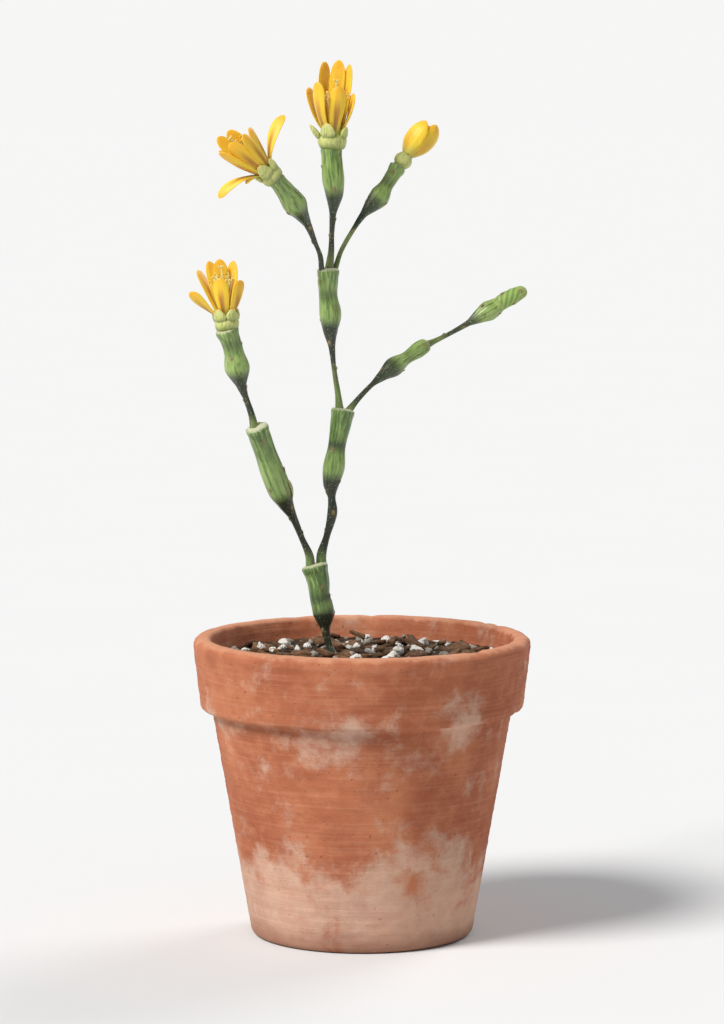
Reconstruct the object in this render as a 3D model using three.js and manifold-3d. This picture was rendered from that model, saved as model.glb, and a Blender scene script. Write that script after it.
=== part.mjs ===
// A dancing bones cactus in flower, growing in a small clay pot.
// The plant is a chain of bottle-shaped stem joints: each has a thin neck below, a swollen belly above it
// and a blunt top, where the next joints or a flower stand. Millimetres, +Z up, +X to the right and -Y
// towards the front. The origin is the centre of the pot's underside.
import * as THREE from "three";
import { mergeVertices } from "three/addons/utils/BufferGeometryUtils.js";
import Module from "manifold-3d";

const wasm = await Module();
wasm.setup();

// Clay pot: a plain tapered wall under a thicker rim band, with one drain hole.
const POT_HEIGHT = 54;
const POT_FOOT_RADIUS = 20;
const RIM_RADIUS = 30.5;
const RIM_DEPTH = 13;
const RIM_TAPER = 1.4;
const RIM_LEDGE = 2;
const WALL = 3.2;
const POT_FLOOR = 4.5;
const DRAIN_RADIUS = 4.5;
const EDGE = 1;
const POT_SIDES = 36;

// Potting mix, gently uneven on top, with lumps of bark and grit.
const SOIL_LEVEL = 50;
const SWELL = { height: 0.5, shore: 4, along: 0.55, across: 0.47, second: { share: 0.6, across: 0.9 } };
const SOIL_RINGS = 5;
const LUMPS = 30;
const LUMP_SIZE = { least: 0.8, spread: 1.3, round: 1.1 };
const LUMP_SHAPE = { width: 0.85, height: 0.62, sunk: 0.1 };
const ROOM_ROUND_STEM = 1.6;

// The crock over the drain hole, a shard of an old pot. Its outline is seen from above.
const CROCK_SPAN = 20;
const CROCK_THICKNESS = 2.6;
const CROCK_BEND_RADIUS = 32;
const CROCK_OUTLINE = [[-10, -6], [-3, -9], [8, -7.5], [10, 1], [4, 8.5], [-7, 8]];

// Pieces that touch on the real plant keep this clearance, and petals a little more from the scales below.
const GAP = 0.3;
const PETAL_GAP = 0.42;

// The stem leaves the mix a little off the pot's centre, so that the branches spread evenly over it.
const STEM_FOOT = new THREE.Vector3(-5.1, -3, SOIL_LEVEL);

// Stem joints. A crown's rise is a share of its radius, and leaf scales lie between two shares of the length.
const STEM_SIDES = 9;
const RINGS_PER_STATION = 2;
const CROWN_RISE = 0.3;
const CROWN_BENDS = [30, 60];
const SCALE_SIZE = 0.34;
const SCALE_SHAPE = { width: 0.6, leastWidth: 0.14, length: 1.5, thickness: 0.9 };
const SCALE_ZONE = { from: 0.28, to: 0.94 };
const GOLDEN_TURN = THREE.MathUtils.degToRad(137.5);

// The fleshy ring under a flower, with heights and radii as shares of its own radius, and its round scales.
const CUP_DEPTH = 1;
const CUP_PROFILE = [[0, 0], [0.64, 0], [0.92, 0.18], [1, 0.5], [0.96, 0.82], [0.8, 1], [0, 1]];
const BEAD_CIRCLE = 0.94;
const BEAD_THICKNESS = 1.04;
const BEAD_LEAN = 14;

// Petals: half widths along the length, both as shares, and the hub that they grow from.
const PETAL_OUTLINE = [
  [0, 0], [0.48, 0], [0.72, 0.22], [0.93, 0.46], [1, 0.68], [0.84, 0.88], [0.5, 0.97], [0, 1],
];
const PETAL_THICKNESS = 0.72;
const PETAL_SIDES = 6;
const PETAL_HUG = 0.12;
const PETAL_CIRCLE = 0.5;
const WRAP_OUTLINE = [[0, 0], [0.54, 0], [0.88, 0.2], [1, 0.44], [0.9, 0.7], [0.52, 0.93], [0, 1]];
const WRAP_THICKNESS = 0.9;
const WRAP_CIRCLE = 0.7;
const HUB_HEIGHT = 1.9;
const HUB_SIDES = 8;

// Stamens round a style.
const TUFT = { radius: 0.42, height: 0.9 };
const FILAMENT_RADIUS = 0.15;
const ANTHER = { radius: 0.3, stretch: 1.5 };
const STAMEN_LIFT = 0.1;
const STAMEN_LEAN = 4;
const STYLE_RADIUS = 0.2;
const STYLE_EXCESS = 0.9;
const STIGMA = { lobes: 4, size: 0.24, stretch: 1.9, lift: 0.5, out: 0.3 };

const FINISH = {
  clay: new THREE.MeshStandardMaterial({ color: 0xa9603d, roughness: 0.9, metalness: 0 }),
  mix: new THREE.MeshStandardMaterial({ color: 0x3a2a1d, roughness: 1, metalness: 0 }),
  stem: new THREE.MeshStandardMaterial({ color: 0x54753a, roughness: 0.55, metalness: 0 }),
  shoot: new THREE.MeshStandardMaterial({ color: 0x86a84e, roughness: 0.5, metalness: 0 }),
  cup: new THREE.MeshStandardMaterial({ color: 0xb5bd62, roughness: 0.5, metalness: 0 }),
  petal: new THREE.MeshStandardMaterial({ color: 0xf2b71f, roughness: 0.45, metalness: 0 }),
  stamen: new THREE.MeshStandardMaterial({ color: 0xf6dc7a, roughness: 0.6, metalness: 0 }),
};

// Stem joints, from the foot up. A station is [x, y, z, radius], measured from the point where the stem
// leaves the mix. scales is the number of small leaf scales on a joint, and seats are what its foot is fitted
// over. A spur is a longer scale: [height in stations, turn from the front to the right, size].
const JOINTS = {
  stem_base: {
    seats: [],
    scales: 7,
    spurs: [[5.9, 90, 0.8]],
    stations: [
      [0.9, 0, -8, 0.9], [0.5, 0, -3, 0.95], [0, 0, 0.3, 0.95], [-0.8, 0.1, 2.6, 0.58],
      [-1.5, 0.1, 5.5, 0.8], [-1.8, 0.2, 8.6, 1.95], [-2.4, 0.3, 11.3, 1.85], [-2.7, 0.4, 14.2, 2.02],
      [-3.3, 0.5, 16.7, 2.32],
    ],
  },
  stem_left_lower: {
    seats: ["stem_base"],
    scales: 8,
    spurs: [[5.2, 84, 1.1]],
    stations: [
      [-4.1, -0.1, 16.7, 0.85], [-4.3, -0.5, 18.9, 0.74], [-5.6, -1.6, 22.1, 0.52],
      [-7.1, -3, 25.9, 0.68], [-8.5, -4.3, 28.7, 1.4], [-9.6, -5.3, 31.4, 2.15], [-10.6, -6.2, 34.2, 2.1],
      [-12, -7.6, 38.4, 1.83], [-13.4, -9, 42.4, 1.95],
    ],
  },
  stem_left_upper: {
    seats: ["stem_left_lower"],
    scales: 6,
    stations: [
      [-13.8, -9.1, 42.4, 0.8], [-14.3, -9.4, 44.8, 0.58], [-15.2, -9.9, 47.6, 0.5],
      [-16, -10.3, 50, 0.88], [-16.7, -10.8, 53.3, 2.22], [-17.2, -11.2, 55.8, 1.75],
      [-17.6, -11.6, 57.5, 1.7], [-18.4, -12.2, 59.9, 2],
    ],
  },
  stem_trunk_middle: {
    seats: ["stem_base", "stem_left_lower"],
    scales: 8,
    stations: [
      [-2.2, 1, 16.7, 0.95], [-2.1, 1.1, 19, 0.88], [-1.2, 1.4, 22.2, 0.6], [-0.2, 1.8, 26.4, 0.88],
      [-0.3, 2, 28.9, 0.66], [-0.4, 2.2, 31.3, 1.4], [0.1, 2.5, 34.6, 1.98], [0.6, 2.9, 38.4, 1.55],
      [1.6, 3.5, 44.4, 2.06],
    ],
  },
  stem_trunk_upper: {
    seats: ["stem_trunk_middle"],
    scales: 8,
    spurs: [[6.75, -90, 0.6]],
    stations: [
      [1.1, 3, 44.5, 0.8], [0.8, 3, 47.6, 0.52], [0.1, 2.8, 52.3, 0.42], [-0.3, 2.6, 56, 0.6],
      [-0.6, 2.5, 59, 1.36], [-0.5, 2.4, 62, 1.98], [-0.9, 2.2, 65.4, 1.62], [-1, 2, 69.6, 1.93],
    ],
  },
  stem_right_inner: {
    seats: ["stem_trunk_middle", "stem_trunk_upper"],
    scales: 5,
    stations: [
      [2.8, 4.3, 44.6, 0.66], [4.2, 5.6, 46.3, 0.46], [6.6, 7.6, 48.7, 0.42], [8.8, 9.4, 50.5, 0.98],
      [10.8, 10.8, 52, 1.74], [13.3, 12.6, 53.6, 1.08], [15.5, 14, 55, 1.42], [16.6, 14.7, 55.6, 1.2],
    ],
  },
  stem_right_outer: {
    seats: ["stem_right_inner"],
    scales: 5,
    stations: [
      [16.9, 14.9, 55.7, 0.72], [18.4, 15.6, 56.4, 0.48], [21, 16.6, 57.6, 0.4], [24.4, 17.9, 59.4, 0.52],
      [26.4, 18.7, 60.6, 1.2], [28.2, 19.3, 61.7, 1.76], [30, 19.9, 62.7, 1.36],
    ],
  },
  stem_right_shoot: {
    seats: ["stem_right_outer"],
    scales: 4,
    finish: "shoot",
    stations: [
      [30.2, 20, 62.8, 1.36], [31.4, 20.4, 63.6, 1.44], [32.8, 20.8, 64.3, 1.42],
      [34.2, 21.2, 64.95, 1.16],
    ],
  },
  stem_top_middle: {
    seats: ["stem_trunk_upper"],
    scales: 7,
    stations: [
      [-0.8, 2.3, 69.6, 0.82], [-0.4, 2.4, 73, 0.54], [-0.3, 2.5, 76, 0.44], [-0.1, 2.6, 79.7, 0.6],
      [0.1, 2.7, 83.2, 1.6], [-0.1, 2.8, 86, 1.98], [-0.2, 2.9, 88.6, 1.86], [-0.3, 3, 91.2, 1.84],
    ],
  },
  stem_top_left: {
    seats: ["stem_trunk_upper", "stem_top_middle"],
    scales: 6,
    stations: [
      [-2.1, 1.1, 69.9, 0.5], [-2.3, 0.4, 72.3, 0.44], [-3.3, -0.9, 75, 0.44], [-4.5, -2.4, 77.9, 0.68],
      [-5.6, -3.8, 79.8, 1.3], [-6.8, -5, 81.8, 2.1], [-8.2, -6.5, 83.9, 1.68], [-9.9, -8, 86, 1.42],
    ],
  },
  stem_top_right: {
    seats: ["stem_trunk_upper", "stem_top_middle"],
    scales: 6,
    stations: [
      [0.3, 3.2, 69.9, 0.5], [1.3, 4, 73, 0.42], [3.4, 5.4, 76.7, 0.4], [5.3, 6.7, 79.5, 0.62],
      [6.9, 7.8, 81.3, 1.4], [8.2, 8.7, 82.7, 1.84], [9.6, 9.7, 84.9, 1.24], [11.4, 11, 87.7, 1.5],
    ],
  },
};

// Flowers, each on the top of a joint. cup is the radius of the fleshy ring under it. A bead is one of the
// short round scales: [turn, width, height]. A petal is [turn, lean, curl, length, width, twist], with angles
// in degrees: turn round the flower from its front to its right, lean outwards at the root, and curl and
// twist from root to tip.
const FLOWERS = {
  flower_left: {
    on: "stem_left_upper",
    axis: [-0.1, 0, 1],
    cup: 2.1,
    beads: [[-34, 2.4, 2.5], [36, 2.2, 2.3], [108, 2.1, 2.1], [180, 2.1, 2.1], [-108, 2.1, 2.1]],
    petals: [
      [-62, 41, 8, 7.3, 2.6, -30], [-8, 17, -22, 7, 3.1], [66, 30, -18, 7.2, 2.7, 26],
      [140, 22, -10, 10, 2.4], [-178, 14, -14, 10.2, 2.9], [-152, 21, -8, 10.4, 2.4],
      [-126, 27, -6, 9.4, 2.5],
    ],
    stamens: 7,
    stamenLength: 5.8,
  },
  flower_top_left: {
    on: "stem_top_left",
    axis: [-0.74, -0.2, 0.67],
    cup: 1.95,
    beads: [[-8, 2.5, 3.3], [62, 2.1, 2.4], [-104, 1.9, 2], [178, 2, 2]],
    petals: [
      [112, 44, 46, 10, 2.4, -44], [-84, 38, 58, 9.2, 2.1, 44], [-52, 25, -20, 9, 3.1],
      [2, 19, -20, 9, 2.8], [54, 27, -14, 8.9, 2.3], [98, 24, -8, 9, 2.4],
      [150, 20, -20, 9.8, 2.6], [-160, 20, -20, 10.2, 2.8], [-108, 22, -12, 9.8, 2.3],
    ],
    stamens: 7,
    stamenLength: 6.4,
  },
  flower_top_middle: {
    on: "stem_top_middle",
    axis: [0.07, 0, 1],
    cup: 2.5,
    beads: [[-12, 2.8, 2.8], [-82, 2.2, 3], [66, 2.2, 2.3], [140, 2.3, 2.4], [-150, 2.3, 2.4]],
    petals: [
      [-46, 33, -34, 9.6, 3.3], [16, 22, -28, 8.6, 3.2], [84, 32, -34, 7.8, 2.9, -30],
      [-102, 41, -36, 8.8, 2.8, 24], [168, 26, -28, 9.2, 3], [-140, 21, -26, 12.6, 2.8],
      [172, 9, -13, 13.2, 3], [120, 17, -20, 12.2, 2.6],
    ],
    stamens: 8,
    stamenLength: 7,
  },
};

// The closed bud, on a round bead. A wrap is a petal round its egg: [turn, lean, share of the egg's length,
// width], and it curls back by twice its lean.
const BUD = {
  on: "stem_top_right",
  axis: [0.56, 0.1, 0.83],
  bead: 1.62,
  radius: 2.1,
  length: 7.6,
  egg: [[0, 0], [0.36, 0.03], [0.64, 0.2], [0.82, 0.42], [0.8, 0.6], [0.54, 0.82], [0, 0.94]],
  wraps: [[-40, 35, 1.03, 4.7], [66, 41, 1.02, 4.6], [-150, 32, 0.98, 4.2], [158, 33, 0.96, 4]],
};

// Shared shapes

const FRONT_TO_BACK = new THREE.Vector3(0, 1, 0);
const radians = THREE.MathUtils.degToRad;

// The solid of a closed geometry, with its seams merged.
function solidOf(geometry) {
  const bare = geometry.clone();
  bare.deleteAttribute("normal");
  bare.deleteAttribute("uv");
  const merged = mergeVertices(bare, 1e-4);
  const vertProperties = new Float32Array(merged.attributes.position.array);
  const triVerts = new Uint32Array(merged.index.array);
  return new wasm.Manifold(new wasm.Mesh({ numProp: 3, vertProperties, triVerts }));
}

function geometryOf(solid) {
  const { vertProperties, triVerts } = solid.getMesh();
  const geometry = new THREE.BufferGeometry();
  geometry.setAttribute("position", new THREE.BufferAttribute(vertProperties, 3));
  geometry.setIndex(new THREE.BufferAttribute(triVerts, 1));
  const faceted = geometry.toNonIndexed();
  faceted.computeVertexNormals();
  return faceted;
}

const joined = (solids) => solids.reduce((all, next) => all.add(next));

// A named mesh of a solid's main body, without the slivers and closed hollows that fitting leaves.
function piece(name, solid, finish) {
  const main = solid.decompose().reduce((best, body) => (body.volume() > best.volume() ? body : best));
  const mesh = new THREE.Mesh(geometryOf(main), FINISH[finish]);
  mesh.name = name;
  return mesh;
}

// A turned shape round the Y axis, from [radius, height] points.
function turned(points, sides) {
  return new THREE.LatheGeometry(points.map(([radius, height]) => new THREE.Vector2(radius, height)), sides);
}

// The same, standing on the Z axis.
const turnedUp = (points, sides) => turned(points, sides).rotateX(Math.PI / 2);

// Places along a smooth curve through points. A height counts points, and past either end it is millimetres.
function spineOf(points) {
  const last = points.length - 1;
  const curve = new THREE.CatmullRomCurve3(points);
  return (height) => {
    const share = THREE.MathUtils.clamp(height / last, 0, 1);
    const heading = curve.getTangent(share);
    const centre = curve.getPoint(share).addScaledVector(heading, height - share * last);
    return { centre, heading };
  };
}

// Lays a geometry that was made round the Y axis along a spine. Its -Z side then faces the given way.
function bend(geometry, place, facing) {
  const position = geometry.attributes.position;
  const vertex = new THREE.Vector3();
  for (let i = 0; i < position.count; i++) {
    vertex.fromBufferAttribute(position, i);
    const { centre, heading } = place(vertex.y);
    const across = new THREE.Vector3().crossVectors(facing, heading).normalize();
    const through = new THREE.Vector3().crossVectors(across, heading);
    centre.addScaledVector(across, vertex.x).addScaledVector(through, vertex.z);
    position.setXYZ(i, centre.x, centre.y, centre.z);
  }
  return geometry;
}

// Repeatable random numbers from 0 to 1.
function seeded(seed) {
  let state = seed;
  return () => {
    state = (state * 16807) % 2147483647;
    return state / 2147483647;
  };
}

// Pot

// The pot's inside radius at a height: the wall keeps its thickness up to the ledge, then opens to the mouth.
function innerRadius(height) {
  const ledge = POT_HEIGHT - RIM_DEPTH;
  const ledgeRadius = RIM_RADIUS - RIM_TAPER - RIM_LEDGE - WALL;
  if (height < ledge) return THREE.MathUtils.lerp(POT_FOOT_RADIUS - WALL, ledgeRadius, height / ledge);
  return THREE.MathUtils.mapLinear(height, ledge, POT_HEIGHT - EDGE, ledgeRadius, RIM_RADIUS - WALL);
}

function potSolid() {
  const ledge = POT_HEIGHT - RIM_DEPTH;
  const bandFoot = RIM_RADIUS - RIM_TAPER;
  const mouth = RIM_RADIUS - WALL;
  const innerFoot = innerRadius(POT_FLOOR + EDGE);
  const profile = [
    [DRAIN_RADIUS, 0], [POT_FOOT_RADIUS - EDGE, 0], [POT_FOOT_RADIUS, EDGE], [bandFoot - RIM_LEDGE, ledge],
    [bandFoot - EDGE / 2, ledge], [bandFoot, ledge + EDGE / 2], [RIM_RADIUS, POT_HEIGHT - EDGE],
    [RIM_RADIUS - EDGE, POT_HEIGHT], [mouth + EDGE, POT_HEIGHT], [mouth, POT_HEIGHT - EDGE],
    [innerRadius(ledge), ledge], [innerFoot, POT_FLOOR + EDGE], [innerFoot - EDGE, POT_FLOOR],
    [DRAIN_RADIUS, POT_FLOOR], [DRAIN_RADIUS, 0],
  ];
  return solidOf(turnedUp(profile, POT_SIDES));
}

// The crock, arched over the drain hole. The pocket for it in the mix is larger by extra and open below.
function crockSolid(extra) {
  const seat = POT_FLOOR + GAP;
  const outer = CROCK_BEND_RADIUS + CROCK_THICKNESS + extra;
  const halfSpan = CROCK_SPAN / 2 + extra;
  const centre = seat - Math.sqrt(CROCK_BEND_RADIUS ** 2 - (CROCK_SPAN / 2) ** 2);
  const arch = new THREE.Shape();
  arch.absarc(0, centre, outer, Math.acos(halfSpan / outer), Math.acos(-halfSpan / outer), false);
  if (extra) {
    arch.lineTo(-halfSpan, 0);
    arch.lineTo(halfSpan, 0);
  } else {
    const end = Math.acos(halfSpan / CROCK_BEND_RADIUS);
    arch.absarc(0, centre, CROCK_BEND_RADIUS, Math.PI - end, end, true);
  }
  const along = { depth: 2 * CROCK_SPAN, bevelEnabled: false, curveSegments: 6 };
  const vault = new THREE.ExtrudeGeometry(arch, along).translate(0, 0, -CROCK_SPAN).rotateX(Math.PI / 2);
  const grown = 1 + (2 * extra) / CROCK_SPAN;
  const corners = CROCK_OUTLINE.map(([x, y]) => new THREE.Vector2(x, y).multiplyScalar(grown));
  const upright = { depth: SOIL_LEVEL, bevelEnabled: false };
  const prism = new THREE.ExtrudeGeometry(new THREE.Shape(corners), upright);
  return solidOf(vault).intersect(solidOf(prism));
}

// Raises the turned mix's flat top into low swells that die out at the pot's wall.
function swellTop(body, rim) {
  const position = body.attributes.position;
  for (let i = 0; i < position.count; i++) {
    const [x, y, z] = [position.getX(i), position.getY(i), position.getZ(i)];
    if (z < SOIL_LEVEL - EDGE / 2) continue;
    const inward = THREE.MathUtils.smoothstep(rim - Math.hypot(x, y), 0, SWELL.shore);
    const first = Math.sin(x * SWELL.along + 1) * Math.cos(y * SWELL.across);
    const second = SWELL.second.share * Math.sin(y * SWELL.second.across + x);
    position.setZ(i, z + inward * SWELL.height * (first + second));
  }
  return body;
}

function lumpSolids(rim) {
  const random = seeded(41);
  const lumps = [];
  while (lumps.length < LUMPS) {
    const radius = (rim - LUMP_SIZE.least - LUMP_SIZE.spread) * Math.sqrt(random());
    const angle = 2 * Math.PI * random();
    const size = LUMP_SIZE.least + LUMP_SIZE.spread * random() ** 2;
    const Rough = size > LUMP_SIZE.round ? THREE.IcosahedronGeometry : THREE.OctahedronGeometry;
    const [x, y] = [radius * Math.cos(angle), radius * Math.sin(angle)];
    if (Math.hypot(x - STEM_FOOT.x, y - STEM_FOOT.y) < size + ROOM_ROUND_STEM) continue;
    const rough = new Rough(size).scale(1, LUMP_SHAPE.width, LUMP_SHAPE.height).rotateZ(angle * 3);
    lumps.push(solidOf(rough.translate(x, y, SOIL_LEVEL - LUMP_SHAPE.sunk * size)));
  }
  return lumps;
}

function mixSolid(stemFoot) {
  const rim = innerRadius(SOIL_LEVEL) - GAP;
  const ledge = POT_HEIGHT - RIM_DEPTH;
  const bottom = POT_FLOOR + GAP;
  const foot = innerRadius(bottom + EDGE) - GAP;
  const profile = [
    [0, bottom], [foot - EDGE, bottom], [foot, bottom + EDGE], [innerRadius(ledge) - GAP, ledge],
  ];
  for (let i = SOIL_RINGS; i >= 0; i--) profile.push([(rim * i) / SOIL_RINGS, SOIL_LEVEL]);
  const body = solidOf(swellTop(turnedUp(profile, POT_SIDES), rim));
  return joined([body, ...lumpSolids(rim)]).subtract(crockSolid(GAP)).subtract(stemFoot);
}

// Stem

function limbOf({ stations }) {
  const last = stations.length - 1;
  const girth = new THREE.CatmullRomCurve3(stations.map(([, , , radius]) => new THREE.Vector3(radius, 0, 0)));
  return {
    last,
    place: spineOf(stations.map(([x, y, z]) => new THREE.Vector3(x, y, z))),
    radius: (height) => girth.getPoint(THREE.MathUtils.clamp(height / last, 0, 1)).x,
  };
}

// One stem joint, or the same joint larger all round by extra. A shoot's top is round, the others' blunt.
function jointGeometry(joint, extra = 0) {
  const { last, place, radius } = limbOf(joint);
  const profile = [[0, -extra], [radius(0) + extra, -extra]];
  for (let ring = extra ? 0 : 1; ring <= last * RINGS_PER_STATION; ring++) {
    const height = ring / RINGS_PER_STATION;
    profile.push([radius(height) + extra, height]);
  }
  const rim = radius(last) + extra;
  const rise = joint.finish === "shoot" ? rim : CROWN_RISE * rim + extra;
  for (const angle of CROWN_BENDS.map(radians)) {
    profile.push([rim * Math.cos(angle), last + rise * Math.sin(angle)]);
  }
  profile.push([0, last + rise]);
  return bend(turned(profile, STEM_SIDES), place, FRONT_TO_BACK);
}

// Small leaf scales in a spiral up the joint from its neck to its top, and its spurs, which are longer.
function scaleSolids(joint) {
  const { last, place, radius } = limbOf(joint);
  const places = (joint.spurs ?? []).map(([height, turn, size]) => [height, radians(turn), size]);
  for (let i = 0; i < joint.scales; i++) {
    const share = THREE.MathUtils.lerp(SCALE_ZONE.from, SCALE_ZONE.to, i / (joint.scales - 1));
    places.push([share * last, i * GOLDEN_TURN + joint.stations[0][0], SCALE_SIZE]);
  }
  return places.map(([height, turn, size]) => {
    const width = SCALE_SHAPE.width + SCALE_SHAPE.leastWidth / size;
    const scale = new THREE.OctahedronGeometry(size).scale(width, SCALE_SHAPE.length, SCALE_SHAPE.thickness);
    scale.translate(0, 0, radius(height)).rotateY(turn);
    const { centre, heading } = place(height);
    const straight = (rise) => ({ centre: centre.clone().addScaledVector(heading, rise), heading });
    return solidOf(bend(scale, straight, FRONT_TO_BACK));
  });
}

function stemPieces() {
  const stem = new THREE.Group();
  stem.position.copy(STEM_FOOT);
  for (const [name, joint] of Object.entries(JOINTS)) {
    let solid = joined([solidOf(jointGeometry(joint)), ...scaleSolids(joint)]);
    for (const seat of joint.seats) solid = solid.subtract(solidOf(jointGeometry(JOINTS[seat], GAP)));
    stem.add(piece(name, solid, joint.finish ?? "stem"));
  }
  return stem;
}

// Flowers

// A group that stands on the top of a joint and points along an axis, in the stem's own frame.
function standingOn({ on, axis }) {
  const { last, place } = limbOf(JOINTS[on]);
  const group = new THREE.Group();
  group.position.copy(place(last).centre);
  const up = new THREE.Vector3(...axis).normalize();
  const right = new THREE.Vector3().crossVectors(FRONT_TO_BACK, up).normalize();
  const back = new THREE.Vector3().crossVectors(up, right);
  group.quaternion.setFromRotationMatrix(new THREE.Matrix4().makeBasis(right, back, up));
  group.updateMatrix();
  return group;
}

// The joint under a flower, larger by the gap, seen from inside the flower's group.
function crownCutter(group, on) {
  return solidOf(jointGeometry(JOINTS[on], GAP).applyMatrix4(group.matrix.clone().invert()));
}

// Turns what was made on the +X side round the flower, by degrees from its front to its right.
const round = (geometry, turn) => geometry.rotateZ(radians(turn - 90));

// A thick blade with a rounded tip, narrow at the root, with its back facing outwards.
function blade(petal, root, height, outline = PETAL_OUTLINE, thickness = PETAL_THICKNESS) {
  const [turn, lean, curl, length, width, twist = 0] = petal;
  const steps = 4;
  const points = [new THREE.Vector3(root, 0, height)];
  for (let i = 0; i < steps; i++) {
    const angle = radians(lean + (curl * (i + 0.5)) / steps);
    const step = new THREE.Vector3(Math.sin(angle), 0, Math.cos(angle)).multiplyScalar(length / steps);
    points.push(points[i].clone().add(step));
  }
  const flat = turned(outline.map(([half, share]) => [half, share * steps]), PETAL_SIDES);
  flat.rotateY(Math.PI / PETAL_SIDES).scale(width / Math.sqrt(3), 1, thickness / 2);
  const position = flat.attributes.position;
  for (let i = 0; i < position.count; i++) {
    const hugged = new THREE.Vector2(position.getX(i), position.getZ(i) + PETAL_HUG * position.getX(i) ** 2);
    hugged.rotateAround(new THREE.Vector2(), radians(twist * position.getY(i)) / steps);
    position.setX(i, hugged.x);
    position.setZ(i, hugged.y);
  }
  return solidOf(round(bend(flat, spineOf(points), new THREE.Vector3(1, 0, 0)), turn));
}

// The fleshy ring under a flower with its short round scales, larger all round by extra.
function cupSolid({ cup, beads }, extra = 0) {
  const depth = CUP_DEPTH * cup;
  const profile = CUP_PROFILE.map(([out, up]) => [
    out ? out * cup + extra : 0,
    up * depth + (up > 0.5 ? extra : -extra),
  ]);
  const scales = beads.map(([turn, width, tall]) => {
    const bead = new THREE.SphereGeometry(1, 6, 4).rotateX(Math.PI / 2);
    bead.scale(BEAD_THICKNESS / 2 + extra, width / 2 + extra, tall / 2 + extra);
    bead.rotateY(radians(BEAD_LEAN)).translate(BEAD_CIRCLE * cup, 0, depth + 0.2 * tall);
    return solidOf(round(bead, turn));
  });
  return joined([solidOf(turnedUp(profile, STEM_SIDES)), ...scales]);
}

function petalSolid({ cup, petals }) {
  const root = PETAL_CIRCLE * cup;
  const seat = CUP_DEPTH * cup + GAP;
  const hub = [
    [0, seat], [root + 0.1, seat], [root + 0.3, seat + 0.8 * HUB_HEIGHT], [root, seat + HUB_HEIGHT],
    [0, seat + HUB_HEIGHT],
  ];
  const blades = petals.map((petal) => blade(petal, root, seat + 0.1));
  return joined([solidOf(turnedUp(hub, HUB_SIDES)), ...blades]);
}

// A tuft of stamens round a longer style with a star of short stigma lobes.
function stamenSolid({ cup, stamens, stamenLength }) {
  const rod = (radius, top, sides) => turnedUp([[0, 0], [radius, 0], [radius, top], [0, top]], sides);
  const style = stamenLength + STYLE_EXCESS;
  const made = [rod(TUFT.radius, TUFT.height, HUB_SIDES), rod(STYLE_RADIUS, style, 5)];
  for (let i = 0; i < stamens; i++) {
    const length = stamenLength * (0.84 + 0.16 * Math.cos(5 * i));
    const anther = new THREE.OctahedronGeometry(ANTHER.radius).scale(1, 1, ANTHER.stretch);
    anther.translate(0, 0, length);
    for (const part of [rod(FILAMENT_RADIUS, length, 3), anther]) {
      part.rotateY(radians(STAMEN_LEAN)).translate(TUFT.radius / 2, 0, STAMEN_LIFT);
      made.push(part.rotateZ((2 * Math.PI * i) / stamens));
    }
  }
  for (let i = 0; i < STIGMA.lobes; i++) {
    const lobe = new THREE.OctahedronGeometry(STIGMA.size).scale(STIGMA.stretch, 1, 1).rotateY(-STIGMA.lift);
    made.push(lobe.translate(STIGMA.out, 0, style).rotateZ((2 * Math.PI * i) / STIGMA.lobes));
  }
  const floor = CUP_DEPTH * cup + HUB_HEIGHT + 2 * GAP;
  return joined(made.map(solidOf)).translate(0, 0, floor);
}

function flowerPieces(name, flower) {
  const group = standingOn(flower);
  const cup = cupSolid(flower).subtract(crownCutter(group, flower.on));
  const petals = petalSolid(flower).subtract(cupSolid(flower, PETAL_GAP));
  group.add(
    piece(name + "_cup", cup, "cup"),
    piece(name + "_petals", petals, "petal"),
    piece(name + "_stamens", stamenSolid(flower), "stamen"),
  );
  return group;
}

function budPieces({ on, bead, radius, length, egg, wraps }) {
  const group = standingOn(BUD);
  const seat = 1.95 * bead;
  const ball = (extra) => {
    const sphere = new THREE.SphereGeometry(bead + extra, STEM_SIDES, 8).rotateX(Math.PI / 2);
    return solidOf(sphere.translate(0, 0, 1.1 * bead));
  };
  const core = solidOf(turnedUp(egg.map(([out, up]) => [out * radius, seat + up * length]), HUB_SIDES));
  const petals = wraps.map(([turn, lean, share, width]) =>
    blade([turn, lean, -2 * lean, share * length, width], WRAP_CIRCLE, seat, WRAP_OUTLINE, WRAP_THICKNESS),
  );
  group.add(
    piece("bud_cup", ball(0).subtract(crownCutter(group, on)), "cup"),
    piece("bud_petals", joined([core, ...petals]).subtract(ball(GAP)), "petal"),
  );
  return group;
}

// The whole plant in its pot.

const stem = stemPieces();
for (const [name, flower] of Object.entries(FLOWERS)) stem.add(flowerPieces(name, flower));
stem.add(budPieces(BUD));

const stemHole = solidOf(jointGeometry(JOINTS.stem_base, GAP).translate(...STEM_FOOT));
const pottedCactus = new THREE.Group();
pottedCactus.add(
  piece("pot", potSolid(), "clay"),
  piece("drain_crock", crockSolid(0), "clay"),
  piece("potting_mix", mixSolid(stemHole), "mix"),
  stem,
);

export default pottedCactus;
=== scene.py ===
"""A dancing bones cactus in flower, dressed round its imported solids: a clay pot with its mix, the stem
joints with their leaf scales and wool, three open flowers and a bud. Lengths are worked out in millimetres
and stored in metres, +Z up, +X to the right and -Y towards the front."""

import math

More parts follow.
